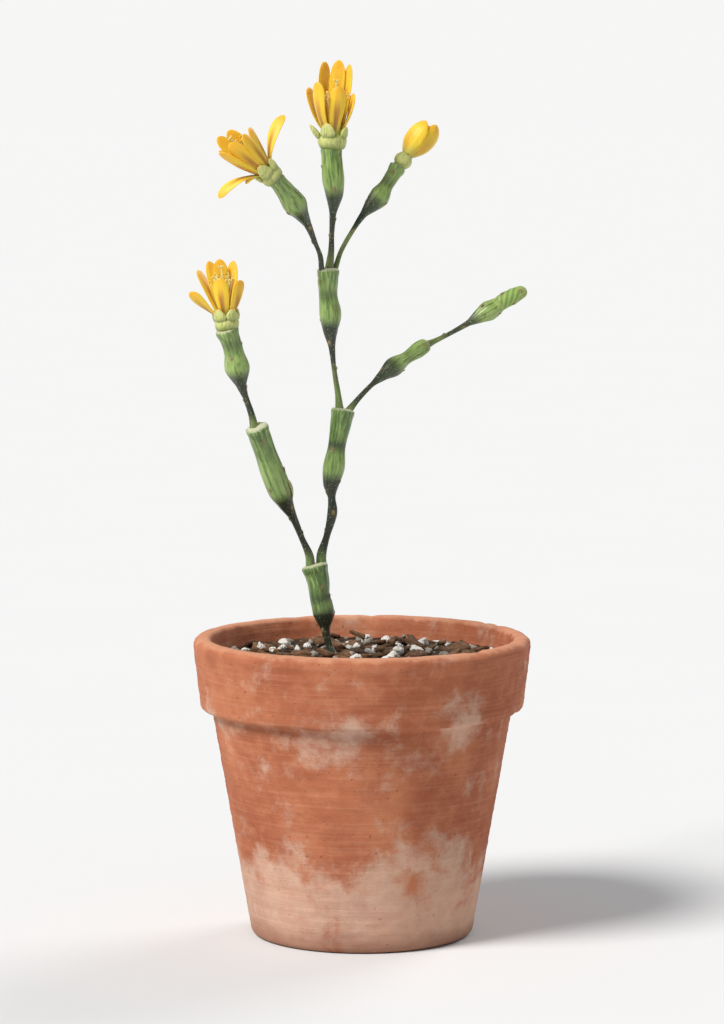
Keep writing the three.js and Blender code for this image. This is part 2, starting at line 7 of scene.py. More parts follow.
import bmesh
import bpy
import numpy as np
from bpy.props import FloatProperty, FloatVectorProperty, IntProperty, PointerProperty
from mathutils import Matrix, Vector


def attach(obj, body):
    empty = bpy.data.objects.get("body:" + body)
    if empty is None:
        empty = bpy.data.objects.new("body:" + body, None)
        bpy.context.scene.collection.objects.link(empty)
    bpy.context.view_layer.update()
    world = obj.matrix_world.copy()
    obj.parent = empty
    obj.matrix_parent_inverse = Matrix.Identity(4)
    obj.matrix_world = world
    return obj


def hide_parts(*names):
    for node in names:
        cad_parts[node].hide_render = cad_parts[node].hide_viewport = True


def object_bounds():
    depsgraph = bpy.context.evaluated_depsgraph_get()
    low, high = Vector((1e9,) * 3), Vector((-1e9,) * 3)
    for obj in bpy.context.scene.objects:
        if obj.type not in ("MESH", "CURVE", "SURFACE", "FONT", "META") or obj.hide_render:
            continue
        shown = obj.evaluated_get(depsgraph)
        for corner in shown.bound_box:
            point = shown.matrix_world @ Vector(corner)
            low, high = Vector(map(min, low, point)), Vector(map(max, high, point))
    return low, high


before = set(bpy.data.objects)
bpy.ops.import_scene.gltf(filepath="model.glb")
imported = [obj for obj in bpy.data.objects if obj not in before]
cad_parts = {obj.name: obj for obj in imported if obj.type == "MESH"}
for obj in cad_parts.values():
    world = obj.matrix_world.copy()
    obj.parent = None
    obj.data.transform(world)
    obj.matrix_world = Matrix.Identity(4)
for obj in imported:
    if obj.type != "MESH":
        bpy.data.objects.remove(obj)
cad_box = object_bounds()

bl_info = {
    "name": "Potted dancing bones cactus",
    "version": (1, 0, 0),
    "blender": (4, 5, 0),
    "location": "3D View > Sidebar > Cactus",
    "description": "Builds a flowering dancing bones cactus in a clay pot, and a studio for it",
    "category": "Add Mesh",
}

MM = 0.001
TURN = 2 * math.pi
GOLDEN_TURN = math.radians(137.5)

# The height of a flower's fleshy ring, as a share of its radius, and how far over it the petals and the
# stamens start, in millimetres.
CUP_DEPTH = 1.0
PETAL_SEAT = 0.3
STAMEN_SEAT = 1.75

# The heights of the bud's bead at its middle and top, and where its petals start, as shares of its radius.
BEAD_MIDDLE, BEAD_TOP, BUD_SEAT = 1.1, 2.1, 1.95

# Where the stem leaves the mix, in millimetres. The stations of the joints are measured from it.
STEM_FOOT = np.array([-5.1, -3.0, 50.0])

# Points round a joint, millimetres from one of its rings to the next, the height of its woolly crown as a
# share of its radius, and the places of the crown's rings from its edge to its middle.
JOINT_SIDES = 72
RING_SPACING = 0.2
CROWN_RISE = 0.3
CROWN_STEPS = np.linspace(0, 1, 16)[1:]

# The places of the finishes in the lists of a joint and of a tuft of stamens.
SKIN, SCALE, WOOL = 0, 1, 2
THREAD, POLLEN = 0, 1

NO_QUADS = np.zeros((0, 4), int)
SENSOR_SIZE = 36

# Stem joints, from the foot up. A station is (x, y, z, radius). scales is the number of small leaf scales, a
# spur is a longer one: (height in stations, degrees from the front to the right, size), and age goes from 0
# for a fresh shoot to 1 for old wood. dark says where the dark of the neck starts, as a share of the joint's
# length, and how much higher than usual it reaches up the belly, in millimetres. The dark is partly the
# neck's own tone and partly painted shade on the lower belly.
JOINTS = {
    "stem_base": {
        "scales": 7, "age": 1.0, "dark": (0.16, 1.2), "spurs": [(5.9, 90, 0.8)],
        "stations": [
            (0.9, 0, -8, 0.9), (0.5, 0, -3, 0.95), (0, 0, 0.3, 0.95), (-0.8, 0.1, 2.6, 0.58),
            (-1.5, 0.1, 5.5, 0.8), (-1.8, 0.2, 8.6, 1.95), (-2.4, 0.3, 11.3, 1.85), (-2.7, 0.4, 14.2, 2.02),
            (-3.3, 0.5, 16.7, 2.32),
        ],
    },
    "stem_left_lower": {
        "scales": 8, "age": 0.8, "dark": (0.04, 0), "spurs": [(4.75, 80, 1.3)],
        "stations": [
            (-4.1, -0.1, 16.7, 0.85), (-4.3, -0.5, 18.9, 0.74), (-5.6, -1.6, 22.1, 0.52),
            (-7.1, -3, 25.9, 0.68), (-8.5, -4.3, 28.7, 1.4), (-9.6, -5.3, 31.4, 2.15),
            (-10.6, -6.2, 34.2, 2.1), (-12, -7.6, 38.4, 1.83), (-13.4, -9, 42.4, 1.95),
        ],
    },
    "stem_left_upper": {
        "scales": 6, "age": 0.5, "dark": (0.04, 0),
        "stations": [
            (-13.8, -9.1, 42.4, 0.8), (-14.3, -9.4, 44.8, 0.58), (-15.2, -9.9, 47.6, 0.5),
            (-16, -10.3, 50, 0.88), (-16.7, -10.8, 53.3, 2.22), (-17.2, -11.2, 55.8, 1.75),
            (-17.6, -11.6, 57.5, 1.7), (-18.4, -12.2, 59.9, 2),
        ],
    },
    "stem_trunk_middle": {
        "scales": 8, "age": 0.85, "dark": (0.02, 0),
        "stations": [
            (-2.2, 1, 16.7, 0.95), (-2.1, 1.1, 19, 0.88), (-1.2, 1.4, 22.2, 0.6), (-0.2, 1.8, 26.4, 0.88),
            (-0.3, 2, 28.9, 0.66), (-0.4, 2.2, 31.3, 1.4), (0.1, 2.5, 34.6, 1.98), (0.6, 2.9, 38.4, 1.55),
            (1.6, 3.5, 44.4, 2.06),
        ],
    },
    "stem_trunk_upper": {
        "scales": 8, "age": 0.65, "dark": (0.26, 0), "spurs": [(6.75, -90, 0.6)],
        "stations": [
            (1.1, 3, 44.5, 0.8), (0.8, 3, 47.6, 0.52), (0.1, 2.8, 52.3, 0.42), (-0.3, 2.6, 56, 0.6),
            (-0.6, 2.5, 59, 1.36), (-0.5, 2.4, 62, 1.98), (-0.9, 2.2, 65.4, 1.62), (-1, 2, 69.6, 1.93),
        ],
    },
    "stem_right_inner": {
        "scales": 5, "age": 0.2, "dark": (0, 1.3),
        "stations": [
            (2.8, 4.3, 44.6, 0.66), (4.2, 5.6, 46.3, 0.46), (6.6, 7.6, 48.7, 0.42), (8.8, 9.4, 50.5, 0.98),
            (10.8, 10.8, 52, 1.74), (13.3, 12.6, 53.6, 1.08), (15.5, 14, 55, 1.42), (16.6, 14.7, 55.6, 1.2),
        ],
    },
    "stem_right_outer": {
        "scales": 5, "age": 0.05, "dark": (0.16, 0),
        "stations": [
            (16.9, 14.9, 55.7, 0.72), (18.4, 15.6, 56.4, 0.48), (21, 16.6, 57.6, 0.4),
            (24.4, 17.9, 59.4, 0.52), (26.4, 18.7, 60.6, 1.2), (28.2, 19.3, 61.7, 1.76),
            (30, 19.9, 62.7, 1.36),
        ],
    },
    "stem_right_shoot": {
        "scales": 4, "age": 0.0, "dark": (0.16, 0), "shoot": True,
        "stations": [
            (30.2, 20, 62.8, 1.36), (31.4, 20.4, 63.6, 1.44), (32.8, 20.8, 64.3, 1.42),
            (34.2, 21.2, 64.95, 1.16),
        ],
    },
    "stem_top_middle": {
        "scales": 7, "age": 0.45, "dark": (0.10, 0),
        "stations": [
            (-0.8, 2.3, 69.6, 0.82), (-0.4, 2.4, 73, 0.54), (-0.3, 2.5, 76, 0.44), (-0.1, 2.6, 79.7, 0.6),
            (0.1, 2.7, 83.2, 1.6), (-0.1, 2.8, 86, 1.98), (-0.2, 2.9, 88.6, 1.86), (-0.3, 3, 91.2, 1.84),
        ],
    },
    "stem_top_left": {
        "scales": 6, "age": 0.4, "dark": (-0.12, 0),
        "stations": [
            (-2.1, 1.1, 69.9, 0.5), (-2.3, 0.4, 72.3, 0.44), (-3.3, -0.9, 75, 0.44),
            (-4.5, -2.4, 77.9, 0.68), (-5.6, -3.8, 79.8, 1.3), (-6.8, -5, 81.8, 2.1),
            (-8.2, -6.5, 83.9, 1.68), (-9.9, -8, 86, 1.42),
        ],
    },
    "stem_top_right": {
        "scales": 6, "age": 0.3, "dark": (0.28, 0),
        "stations": [
            (0.3, 3.2, 69.9, 0.5), (1.3, 4, 73, 0.42), (3.4, 5.4, 76.7, 0.4), (5.3, 6.7, 79.5, 0.62),
            (6.9, 7.8, 81.3, 1.4), (8.2, 8.7, 82.7, 1.84), (9.6, 9.7, 84.9, 1.24), (11.4, 11, 87.7, 1.5),
        ],
    },
}

# Flowers, each on the top of a joint. cup is the radius of the fleshy ring. A bead is a short round scale:
# (turn, width, height, lean). A petal is (turn, lean, curl, length, width, twist), with angles in degrees:
# turn round the flower from its front to its right, lean outwards at the root, curl and twist from root to
# tip. stamens is the length of the longest ones.
FLOWERS = {
    "flower_left": {
        "on": "stem_left_upper", "axis": (-0.1, 0, 1), "cup": 2.1, "stamens": 6.4,
        "beads": [
            (-34, 2.5, 2.4, 16), (36, 2.3, 2.2, 14), (108, 2.1, 2.1, 14), (180, 2.1, 2.1, 14),
            (-108, 2.1, 2.1, 14),
        ],
        "petals": [
            (-70, 54, -18, 7.2, 2.7, -34), (-12, 17, -22, 7, 2.8, 0), (66, 30, -18, 6.7, 2.9, 26),
            (148, 22, -10, 10, 2.4, 0), (-173, 14, -14, 10.2, 2.7, 0), (-150, 22, -8, 10.4, 2.4, 0),
            (-124, 28, -6, 9.4, 2.5, 0),
        ],
    },
    "flower_top_left": {
        "on": "stem_top_left", "axis": (-0.74, -0.2, 0.67), "cup": 1.95, "stamens": 6.4,
        "beads": [(-8, 2.5, 3.3, 14), (62, 2.1, 2.4, 16), (-104, 1.9, 2, 20), (178, 2, 2, 14)],
        "petals": [
            (112, 44, 46, 10, 2.4, -44), (-84, 38, 58, 9.2, 2.1, 44), (-60, 26, -20, 9.3, 3.1, 0),
            (-14, 21, -20, 9, 2.8, 0), (34, 25, -14, 8.6, 2.3, 0), (80, 23, -8, 8.2, 2.6, 22),
            (166, 20, -20, 9.8, 2.6, 0), (-148, 20, -20, 10.4, 2.8, 0), (-108, 20, -12, 9, 2.3, 0),
            (-98, 36, 62, 3.6, 2.1, 0),
        ],
    },
    "flower_top_middle": {
        "on": "stem_top_middle", "axis": (0.07, 0, 1), "cup": 2.5, "stamens": 7.0,
        "beads": [
            (-24, 2.8, 2.8, 14), (-87, 2.3, 3.2, 43), (66, 2.2, 2.3, 14), (140, 2.3, 2.4, 14),
            (-150, 2.3, 2.4, 14),
        ],
        "petals": [
            (-50, 36, -34, 9.6, 3.2, 0), (11, 22, -28, 8.6, 3.1, 0), (84, 32, -34, 7.8, 2.9, -30),
            (-104, 43, -36, 8.9, 2.8, 24), (168, 26, -28, 9.2, 3, 0), (-138, 23, -26, 13, 2.8, 0),
            (174, 9, -13, 13.2, 2.8, 0), (122, 16, -20, 12.6, 2.6, 0),
        ],
    },
}

# The closed bud on its round bead. A wrap is a petal round its egg: (turn, lean, curl, share of the egg's
# length, width, distance of its root from the axis, twist). The front wrap lies over its neighbours. The egg
# is (radius, height) points, as shares of the bud's radius and length.
BUD = {
    "on": "stem_top_right", "axis": (0.62, 0.1, 0.785), "bead": 1.62, "radius": 2.1, "length": 7.6,
    "wraps": [
        (-48, 35, -60, 0.94, 4.8, 1, 0), (54, 40, -76, 1.05, 4.8, 0.65, 18),
        (-150, 33, -68, 0.92, 4.2, 0.6, -16), (154, 32, -68, 0.9, 4, 0.55, 0),
    ],
    "egg": [(0, 0), (0.36, 0.03), (0.64, 0.2), (0.8, 0.4), (0.76, 0.56), (0.5, 0.75), (0, 0.86)],
}

# Leaf scales: a small one, and a spur. length and width are shares of its size, lean and curl are degrees,
# and out is how far its root stands from the joint.
SMALL_LEAF = {"length": 2.4, "width": 1.6, "lean": 20, "curl": -16, "thickness": 0.13, "out": -0.05}
SPUR = {"length": 3.1, "width": 1.5, "lean": 22, "curl": -34, "thickness": 0.3, "out": -0.42}


# Sizes and colours that a user would change

def length_property(name, description, millimetres):
    return FloatProperty(name=name, description=description, default=millimetres * MM, min=0,
                         precision=5, subtype="DISTANCE", unit="LENGTH")


def colour_property(name, description, colour):
    return FloatVectorProperty(name=name, description=description, default=colour, min=0, max=1, size=3,
                               subtype="COLOR")


def share_property(name, description, share):
    return FloatProperty(name=name, description=description, default=share, min=0, max=1, subtype="FACTOR")


class PotSettings(bpy.types.PropertyGroup):
    """The clay pot."""

    height: length_property("Height", "Height of the pot", 54)
    foot_radius: length_property("Foot radius", "Outer radius at the pot's foot", 20)
    rim_radius: length_property("Rim radius", "Outer radius at the pot's mouth", 30.5)
    rim_depth: length_property("Rim depth", "Height of the thick band under the mouth", 13)
    rim_taper: length_property("Rim taper", "How far the band narrows towards its lower edge", 1.4)
    rim_ledge: length_property("Ledge", "How far the band stands out from the wall below it", 2)
    wall: length_property("Wall", "Thickness of the wall", 3.2)
    floor: length_property("Floor", "Thickness of the bottom", 4.5)
    drain_radius: length_property("Drain hole radius", "Radius of the hole in the bottom", 4.5)
    clay: colour_property("Clay", "Colour of the dry clay", (0.50, 0.175, 0.085))
    burnt: colour_property("Burnt clay", "Colour of the darker clay", (0.36, 0.105, 0.05))
    lime: colour_property("Lime", "Colour of the bloom that hard water leaves", (0.72, 0.56, 0.44))
    lime_share: share_property("Lime bloom", "How much of the wall has bloom on it", 0.42)


class MixSettings(bpy.types.PropertyGroup):
    """The potting mix."""

    level: length_property("Level", "Height of the mix in the pot", 50)
    swell: length_property("Swell", "Height of the low swells on top", 0.5)
    chips: IntProperty(name="Bark chips", description="Number of bark chips on top", default=130, min=0)
    grains: IntProperty(name="Grit", description="Number of grit stones on top", default=210, min=0)
    puffs: IntProperty(name="Perlite", description="Number of perlite grains on top", default=46, min=0)
    peat: colour_property("Peat", "Colour of the fine part", (0.040, 0.024, 0.014))
    bark: colour_property("Bark", "Colour of the bark chips", (0.145, 0.068, 0.032))
    grit: colour_property("Grit", "Colour of the grit", (0.33, 0.29, 0.24))
    perlite: colour_property("Perlite", "Colour of the perlite", (0.78, 0.76, 0.71))


class StemSettings(bpy.types.PropertyGroup):
    """The stem joints."""

    relief: FloatProperty(name="Relief", description="Depth of ribs and swells, as a share of the usual",
                          default=1.0, min=0, max=3, subtype="FACTOR")
    scale_size: length_property("Leaf scale", "Half the height of a small leaf scale", 0.34)
    crown_wool: IntProperty(name="Wool", description="Hairs on a joint's top", default=120, min=0)
    tuft_wool: IntProperty(name="Tufts", description="Hairs in a leaf scale's axil", default=9, min=0)
    skin: colour_property("Skin", "Green of a grown joint", (0.115, 0.225, 0.042))
    # The dark of the old necks, which also serves as the painted shade on the lower belly and at the waist
    neck_and_shade_green: colour_property("Dark skin", "Green of a joint's lower belly", (0.016, 0.026, 0.011))
    young: colour_property("Young skin", "Green of the newest joints", (0.36, 0.50, 0.13))
    cork: colour_property("Cork", "Brown of the old necks", (0.095, 0.058, 0.030))
    felt: colour_property("Felt", "Colour of the wool and of the joints' tops", (0.62, 0.60, 0.42))
    scale: colour_property("Scales", "Colour of the leaf scales", (0.31, 0.17, 0.075))


class FlowerSettings(bpy.types.PropertyGroup):
    """Flowers and bud."""

    thickness: length_property("Petal thickness", "Thickness of a petal along its middle", 0.62)
    filaments: IntProperty(name="Stamens", description="Number of stamens in a flower", default=27, min=3)
    petal: colour_property("Petal", "Colour of a petal's middle", (0.95, 0.64, 0.04))
    tip: colour_property("Petal tip", "Colour of a petal's tip and edges", (0.92, 0.42, 0.02))
    root: colour_property("Petal root", "Colour of a petal's root", (0.62, 0.60, 0.13))
    # The flushed colour low along a petal's middle, partly its own colour and partly painted shade
    midrib: colour_property("Midrib", "Colour of the flush along a petal's back", (0.50, 0.17, 0.02))
    cup: colour_property("Cup", "Colour of the fleshy ring and round scales", (0.56, 0.60, 0.20))
    # The colour of the painted shade in the grooves of the flutes and on the lower half of the cups
    cup_shade: colour_property("Cup shade", "Colour in the folds of the cup", (0.19, 0.26, 0.05))
    thread: colour_property("Thread", "Colour of the filaments", (0.88, 0.80, 0.34))
    pollen: colour_property("Pollen", "Colour of the pollen", (0.90, 0.66, 0.12))


class StageSettings(bpy.types.PropertyGroup):
    """Camera, floor and light."""

    elevation: FloatProperty(name="Elevation", description="The camera's height above the horizon",
                             default=math.radians(6), subtype="ANGLE", unit="ROTATION")
    lens: FloatProperty(name="Lens", description="Focal length of the camera", default=135, min=10,
                        subtype="DISTANCE_CAMERA")
    margin: share_property("Margin", "Share of the picture's height left free above and below", 0.055)
    floor: colour_property("Floor", "Colour of the floor", (0.717, 0.7232, 0.7345))
    sky: FloatProperty(name="Fill light", description="Strength of the light from all round", default=0.30,
                       min=0)
    key: FloatProperty(name="Key light", description="Strength of the light from the upper left",
                       default=3.45, min=0)


# Curves and fields

def smooth_line(points, heights):
    """Points at heights on the smooth curve through points. A height counts points."""
    points = np.asarray(points, float)
    last = len(points) - 1
    together = 1e-4
    padded = np.vstack([2 * points[0] - points[1], points, 2 * points[-1] - points[-2]])
    at = np.clip(np.atleast_1d(np.asarray(heights, float)), 0, last)
    start = np.minimum(at.astype(int), last - 1)
    share = (at - start)[:, None]
    before, here, there, after = (padded[start + i] for i in range(4))
    apart = [
        np.sqrt(np.linalg.norm(b - a, axis=1, keepdims=True))
        for a, b in ((before, here), (here, there), (there, after))
    ]
    span = np.where(apart[1] < together, 1, apart[1])
    ahead, behind = (np.where(gap < together, span, gap) for gap in (apart[2], apart[0]))
    leave = ((here - before) / behind - (there - before) / (behind + span) + (there - here) / span) * span
    arrive = ((there - here) / span - (after - here) / (span + ahead) + (after - there) / ahead) * span
    bend = 3 * (there - here) - 2 * leave - arrive
    ease = 2 * (here - there) + leave + arrive
    return here + leave * share + bend * share**2 + ease * share**3


def unit(vectors):
    return vectors / np.linalg.norm(vectors, axis=-1, keepdims=True)


def turns(count):
    """Angles spread evenly round a full turn."""
    return np.linspace(0, TURN, count, endpoint=False)


def angle_from(turn, at):
    """How far a turn is from another, from minus half a turn to half a turn."""
    return np.angle(np.exp(1j * (turn - at)))


def round_axis(radius, turn, height):
    """Points round the Z axis."""
    return np.stack(np.broadcast_arrays(radius * np.cos(turn), radius * np.sin(turn), height), -1)


def smoothstep(values, low, high):
    share = np.clip((values - low) / (high - low), 0, 1)
    return share * share * (3 - 2 * share)


def hill(values, centre, width):
    return np.exp(-(((values - centre) / width) ** 2))


def ripple(points, pitch, seed, waves=14):
    """A smooth random field, mostly from -1 to 1, with its swells about pitch apart."""
    chance = np.random.default_rng(seed)
    ways = unit(chance.normal(size=(waves, 3))) * (TURN / pitch * chance.uniform(0.7, 1.4, (waves, 1)))
    return np.cos(points @ ways.T + chance.uniform(0, TURN, waves)).sum(-1) * math.sqrt(2 / waves) / 1.6


class Limb:
    """A joint's centreline and girth. A height counts stations, and past the top it is millimetres."""

    def __init__(self, joint):
        table = np.array(joint["stations"], float)
        self.last = len(table) - 1
        self.points = table[:, :3] + STEM_FOOT
        self.radii = table[:, 3:]

    def radius(self, heights):
        return smooth_line(self.radii, heights)[:, 0]

    def place(self, heights):
        """Centres, and the directions across, through to the front and along the limb."""
        heights = np.atleast_1d(np.asarray(heights, float))
        inside = np.clip(heights, 0, self.last)
        step = 0.001
        heading = unit(smooth_line(self.points, inside + step) - smooth_line(self.points, inside - step))
        centre = smooth_line(self.points, inside) + heading * (heights - inside)[:, None]
        across = unit(np.cross((0, 1, 0), heading))
        return centre, across, np.cross(across, heading), heading

    def rings(self, pitch):
        """Heights spread evenly along the limb, and their distances from its foot."""
        fine = np.linspace(0, self.last, 60 * self.last)
        steps = np.linalg.norm(np.diff(smooth_line(self.points, fine), axis=0), axis=1)
        length = np.concatenate([[0], np.cumsum(steps)])
        along = np.linspace(0, length[-1], int(length[-1] / pitch) + 2)
        return np.interp(along, length, fine), along

    def spot(self, height, turn):
        """The frame of a point on the limb's surface: its place, and the ways out, across and up."""
        centre, across, through, heading = (part[0] for part in self.place([height]))
        out = math.sin(turn) * across + math.cos(turn) * through
        base = centre + out * self.radius([height])[0]
        return base, out, np.cross(heading, out), heading

    def top(self):
        """The place and the directions at the limb's top."""
        return tuple(part[0] for part in self.place([self.last]))


def lined_up(frame_at, grid):
    """Puts a grid made with X outwards and Z up into a frame from Limb.spot."""
    base, out, across, up = frame_at
    return base + grid[..., :1] * out + grid[..., 1:2] * across + grid[..., 2:] * up


# Meshes

def closed_tube(grid, looped=False):
    """Points, quads and triangles of a tube of rings, its ends closed, or joined where it is looped."""
    rings, sides = grid.shape[:2]
    index = np.arange(rings * sides).reshape(rings, sides)
    if looped:
        index = np.vstack([index, index[:1]])
    right = np.roll(index, -1, axis=1)
    quads = np.stack([index[:-1], right[:-1], right[1:], index[1:]], -1).reshape(-1, 4)
    points = grid.reshape(-1, 3)
    triangles = np.zeros((0, 3), int)
    if not looped:
        poles = [np.full(sides, rings * sides + end) for end in (0, 1)]
        points = np.vstack([points, grid[0].mean(0), grid[-1].mean(0)])
        triangles = np.vstack([
            np.stack([right[0], index[0], poles[0]], -1),
            np.stack([index[-1], right[-1], poles[1]], -1),
        ])
    return outwards(points, quads, triangles)


def outwards(points, quads, triangles):
    """Turns the faces over if they look inwards."""
    faces = np.vstack([quads[:, :3], quads[:, [0, 2, 3]], triangles]).astype(int)
    a, b, c = (points[faces[:, i]] - points[0] for i in range(3))
    if np.einsum("ij,ij->", a, np.cross(b, c)) < 0:
        quads, triangles = quads[:, ::-1], triangles[:, ::-1]
    return points, quads, triangles


def with_poles(values):
    """A grid's values as one list, with the means of the end rings for its two poles."""
    flat = values.reshape(-1, *values.shape[2:])
    return np.concatenate([flat, values[:1].mean(1), values[-1:].mean(1)])


class Shape:
    """Surfaces gathered for one piece, in millimetres. Its marks, which its finishes read at each point, are
    named with their widths, such as skin=3 or tone=1."""

    def __init__(self, **widths):
        self.widths = widths
        self.marks = {name: [] for name in widths}
        self.points, self.quads, self.triangles, self.finishes = [], [], [], []
        self.count = 0

    def add(self, points, quads, triangles, finish=0, **marks):
        """Adds a surface with one finish. A mark is given for each point, or once for all of them."""
        self.points.append(points)
        self.quads.append(quads + self.count)
        self.triangles.append(triangles + self.count)
        self.finishes.append((len(quads), len(triangles), finish))
        for name, width in self.widths.items():
            wanted = (len(points), 3) if width == 3 else (len(points),)
            self.marks[name].append(np.broadcast_to(marks.get(name, 0.0), wanted))
        self.count += len(points)

    def add_tube(self, grid, finish=0, looped=False, **marks):
        """Adds rings of points as a tube. A mark is given for the grid's points, or once for all of them."""
        flat = {}
        for name, value in marks.items():
            value = np.asarray(value, float)
            if value.ndim >= 2 and value.shape[:2] == grid.shape[:2]:
                value = value.reshape(-1, *value.shape[2:]) if looped else with_poles(value)
            flat[name] = value
        self.add(*closed_tube(grid, looped), finish, **flat)

    def piece(self, name, materials, slot, *nodes):
        """Makes the Blender object, which rides on the part and stands for the nodes."""
        mesh = bpy.data.meshes.new(name)
        quads, triangles = np.vstack(self.quads), np.vstack(self.triangles)
        points = np.vstack(self.points) * MM
        corners = np.concatenate([quads.ravel(), triangles.ravel()]).astype(np.int32)
        starts = np.concatenate([np.arange(len(quads)) * 4, len(quads) * 4 + np.arange(len(triangles)) * 3])
        mesh.vertices.add(len(points))
        mesh.vertices.foreach_set("co", points.astype(np.float32).ravel())
        mesh.loops.add(len(corners))
        mesh.loops.foreach_set("vertex_index", corners)
        mesh.polygons.add(len(starts))
        mesh.polygons.foreach_set("loop_start", starts.astype(np.int32))
        finishes = [np.full(added[kind], added[-1]) for kind in (0, 1) for added in self.finishes]
        mesh.polygons.foreach_set("material_index", np.concatenate(finishes).astype(np.int32))
        mesh.update(calc_edges=True)
        for mark, width in self.widths.items():
            kind, field = ("FLOAT_VECTOR", "vector") if width == 3 else ("FLOAT", "value")
            stored = mesh.attributes.new(mark, kind, "POINT")
            stored.data.foreach_set(field, np.concatenate(self.marks[mark]).astype(np.float32).ravel())
        if mesh.validate():
            raise RuntimeError(f"{name} has faces that Blender had to mend")
        mesh.shade_smooth()
        made = bpy.data.objects.new(name, mesh)
        bpy.context.scene.collection.objects.link(made)
        for material in materials:
            mesh.materials.append(material)
        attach(made, "root")
        if nodes:
            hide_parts(*nodes)
        return made


def add_hairs(shape, roots, ways, lengths, radius, chance):
    """Adds fine three-sided hairs of wool that taper to a point, and droop a little each its own way."""
    count = len(roots)
    steps = np.array([0, 0.4, 0.75])
    sideways = unit(np.cross(ways, unit(chance.normal(size=ways.shape))))
    other = np.cross(ways, sideways)
    droop = sideways * chance.uniform(-0.5, 0.5, (count, 1))
    droop = droop + other * chance.uniform(-0.5, 0.5, (count, 1))
    lengths = lengths[:, None, None]

    def along(share):
        return roots[:, None] + lengths * (ways[:, None] * share + droop[:, None] * share**2)

    spine = along(steps[None, :, None])
    corner = (np.arange(3) * TURN / 3)[:, None]
    circle = np.cos(corner) * sideways[:, None] + np.sin(corner) * other[:, None]
    girth = radius * (1 - 0.7 * steps)[None, :, None, None]
    rings = spine[:, :, None] + girth * circle[:, None]
    points = np.concatenate([rings.reshape(count, 9, 3), along(np.ones((1, 1, 1)))], 1)
    edges = [(a, (a + 1) % 3) for a in range(3)]
    quads = np.array([[a, b, b + 3, a + 3] for a, b in edges])
    quads = np.vstack([quads, quads + 3])
    triangles = np.array([[a + 6, b + 6, 9] for a, b in edges] + [[2, 1, 0]])
    first = (np.arange(count) * points.shape[1])[:, None, None]
    points, quads, triangles = outwards(
        points.reshape(-1, 3), (quads + first).reshape(-1, 4), (triangles + first).reshape(-1, 3)
    )
    shape.add(points, quads, triangles, WOOL)


def blade_half_width(share):
    """A petal's half width along its length, as a share of the most."""
    rise = 0.46 + 0.54 * smoothstep(share, -0.14, 0.68)
    fall = np.clip(1 - np.clip((share - 0.72) / 0.28, 0, 1) ** 2.3, 0, 1) ** 0.5
    return rise * fall


def wrap_half_width(share):
    """The same for a petal of the closed bud, which is widest lower down."""
    rise = (0.46 + 0.54 * smoothstep(share, -0.06, 0.42)) * (0.72 + 0.28 * smoothstep(share, -0.01, 0.06))
    fall = np.clip(1 - np.clip((share - 0.42) / 0.58, 0, 1) ** 2.5, 0, 1) ** 0.62
    return rise * fall


def leaf_half_width(share):
    """The same for a leaf scale: broad at its base and pointed."""
    return np.clip(0.62 + 1.5 * share - 1.2 * share**2, 0, 1) * np.clip(1 - share**3, 0, 1) ** 0.8


def blade(lean, curl, length, width, thickness, twist=0.0, root=(0.0, 0.0), hug=0.12,
          outline=blade_half_width, rings=34, around=30, groove=0.0, wave=0.0, seed=0, ribs=0):
    """The rings of a petal or a leaf scale, made with X outwards and Z up, and the mark of each point: how
    far along and across the blade it is, and on which side. The blade leaves its root at the angle lean and
    bends by curl. hug bends it round its length, groove sinks its middle, wave lifts its edges, and ribs
    flute it."""
    steps = 4
    points = [np.array([root[0], 0, root[1]])]
    for i in range(steps):
        angle = math.radians(lean + curl * (i + 0.5) / steps)
        points.append(points[-1] + np.array([math.sin(angle), 0, math.cos(angle)]) * length / steps)
    share = np.sin(np.linspace(0, 1, rings) * math.pi / 2) ** 1.15 * 0.9995
    centre = smooth_line(points, share * steps)
    heading = unit(smooth_line(points, share * steps + 0.01) - smooth_line(points, share * steps - 0.01))
    across = np.array([0.0, -1.0, 0.0])
    inward = np.cross(across, heading)
    share = share[:, None]
    phi = turns(around)[None]
    face = np.sign(np.sin(phi))
    chance = np.random.default_rng(seed)
    half = outline(share)
    uneven = 1 + 0.05 * np.cos(share * 5 + chance.uniform(0, TURN)) * np.sign(np.cos(phi))
    x = width / 2 * half * np.cos(phi) * uneven
    z = thickness / 2 * half**0.8 * (face * np.abs(np.sin(phi)) ** 1.25)
    relative = np.cos(phi) * np.ones_like(share)
    if ribs:
        flute = np.cos(relative * math.pi * ribs + chance.uniform(0, 0.6))
        z = z - 0.02 * flute * smoothstep(half, 0.2, 0.7) * face
    z = z + groove * hill(relative, 0, 0.3) * smoothstep(1 - share, 0.05, 0.5)
    z = z + wave * relative**2 * np.sin(share * 7 + chance.uniform(0, TURN) + relative * 1.6)
    z = z + hug * x**2
    angle = np.radians(twist) * share
    x, z = x * np.cos(angle) - z * np.sin(angle), x * np.sin(angle) + z * np.cos(angle)
    grid = centre[:, None] + x[..., None] * across + z[..., None] * inward[:, None]
    return grid, np.stack(np.broadcast_arrays(share, relative, np.sin(phi)), -1)


def ball(subdivisions):
    """Points and triangles of a unit ball."""
    made = bmesh.new()
    bmesh.ops.create_icosphere(made, subdivisions=subdivisions, radius=1)
    made.verts.ensure_lookup_table()
    points = np.array([v.co for v in made.verts])
    triangles = np.array([[v.index for v in face.verts] for face in made.faces])
    made.free()
    return points, triangles


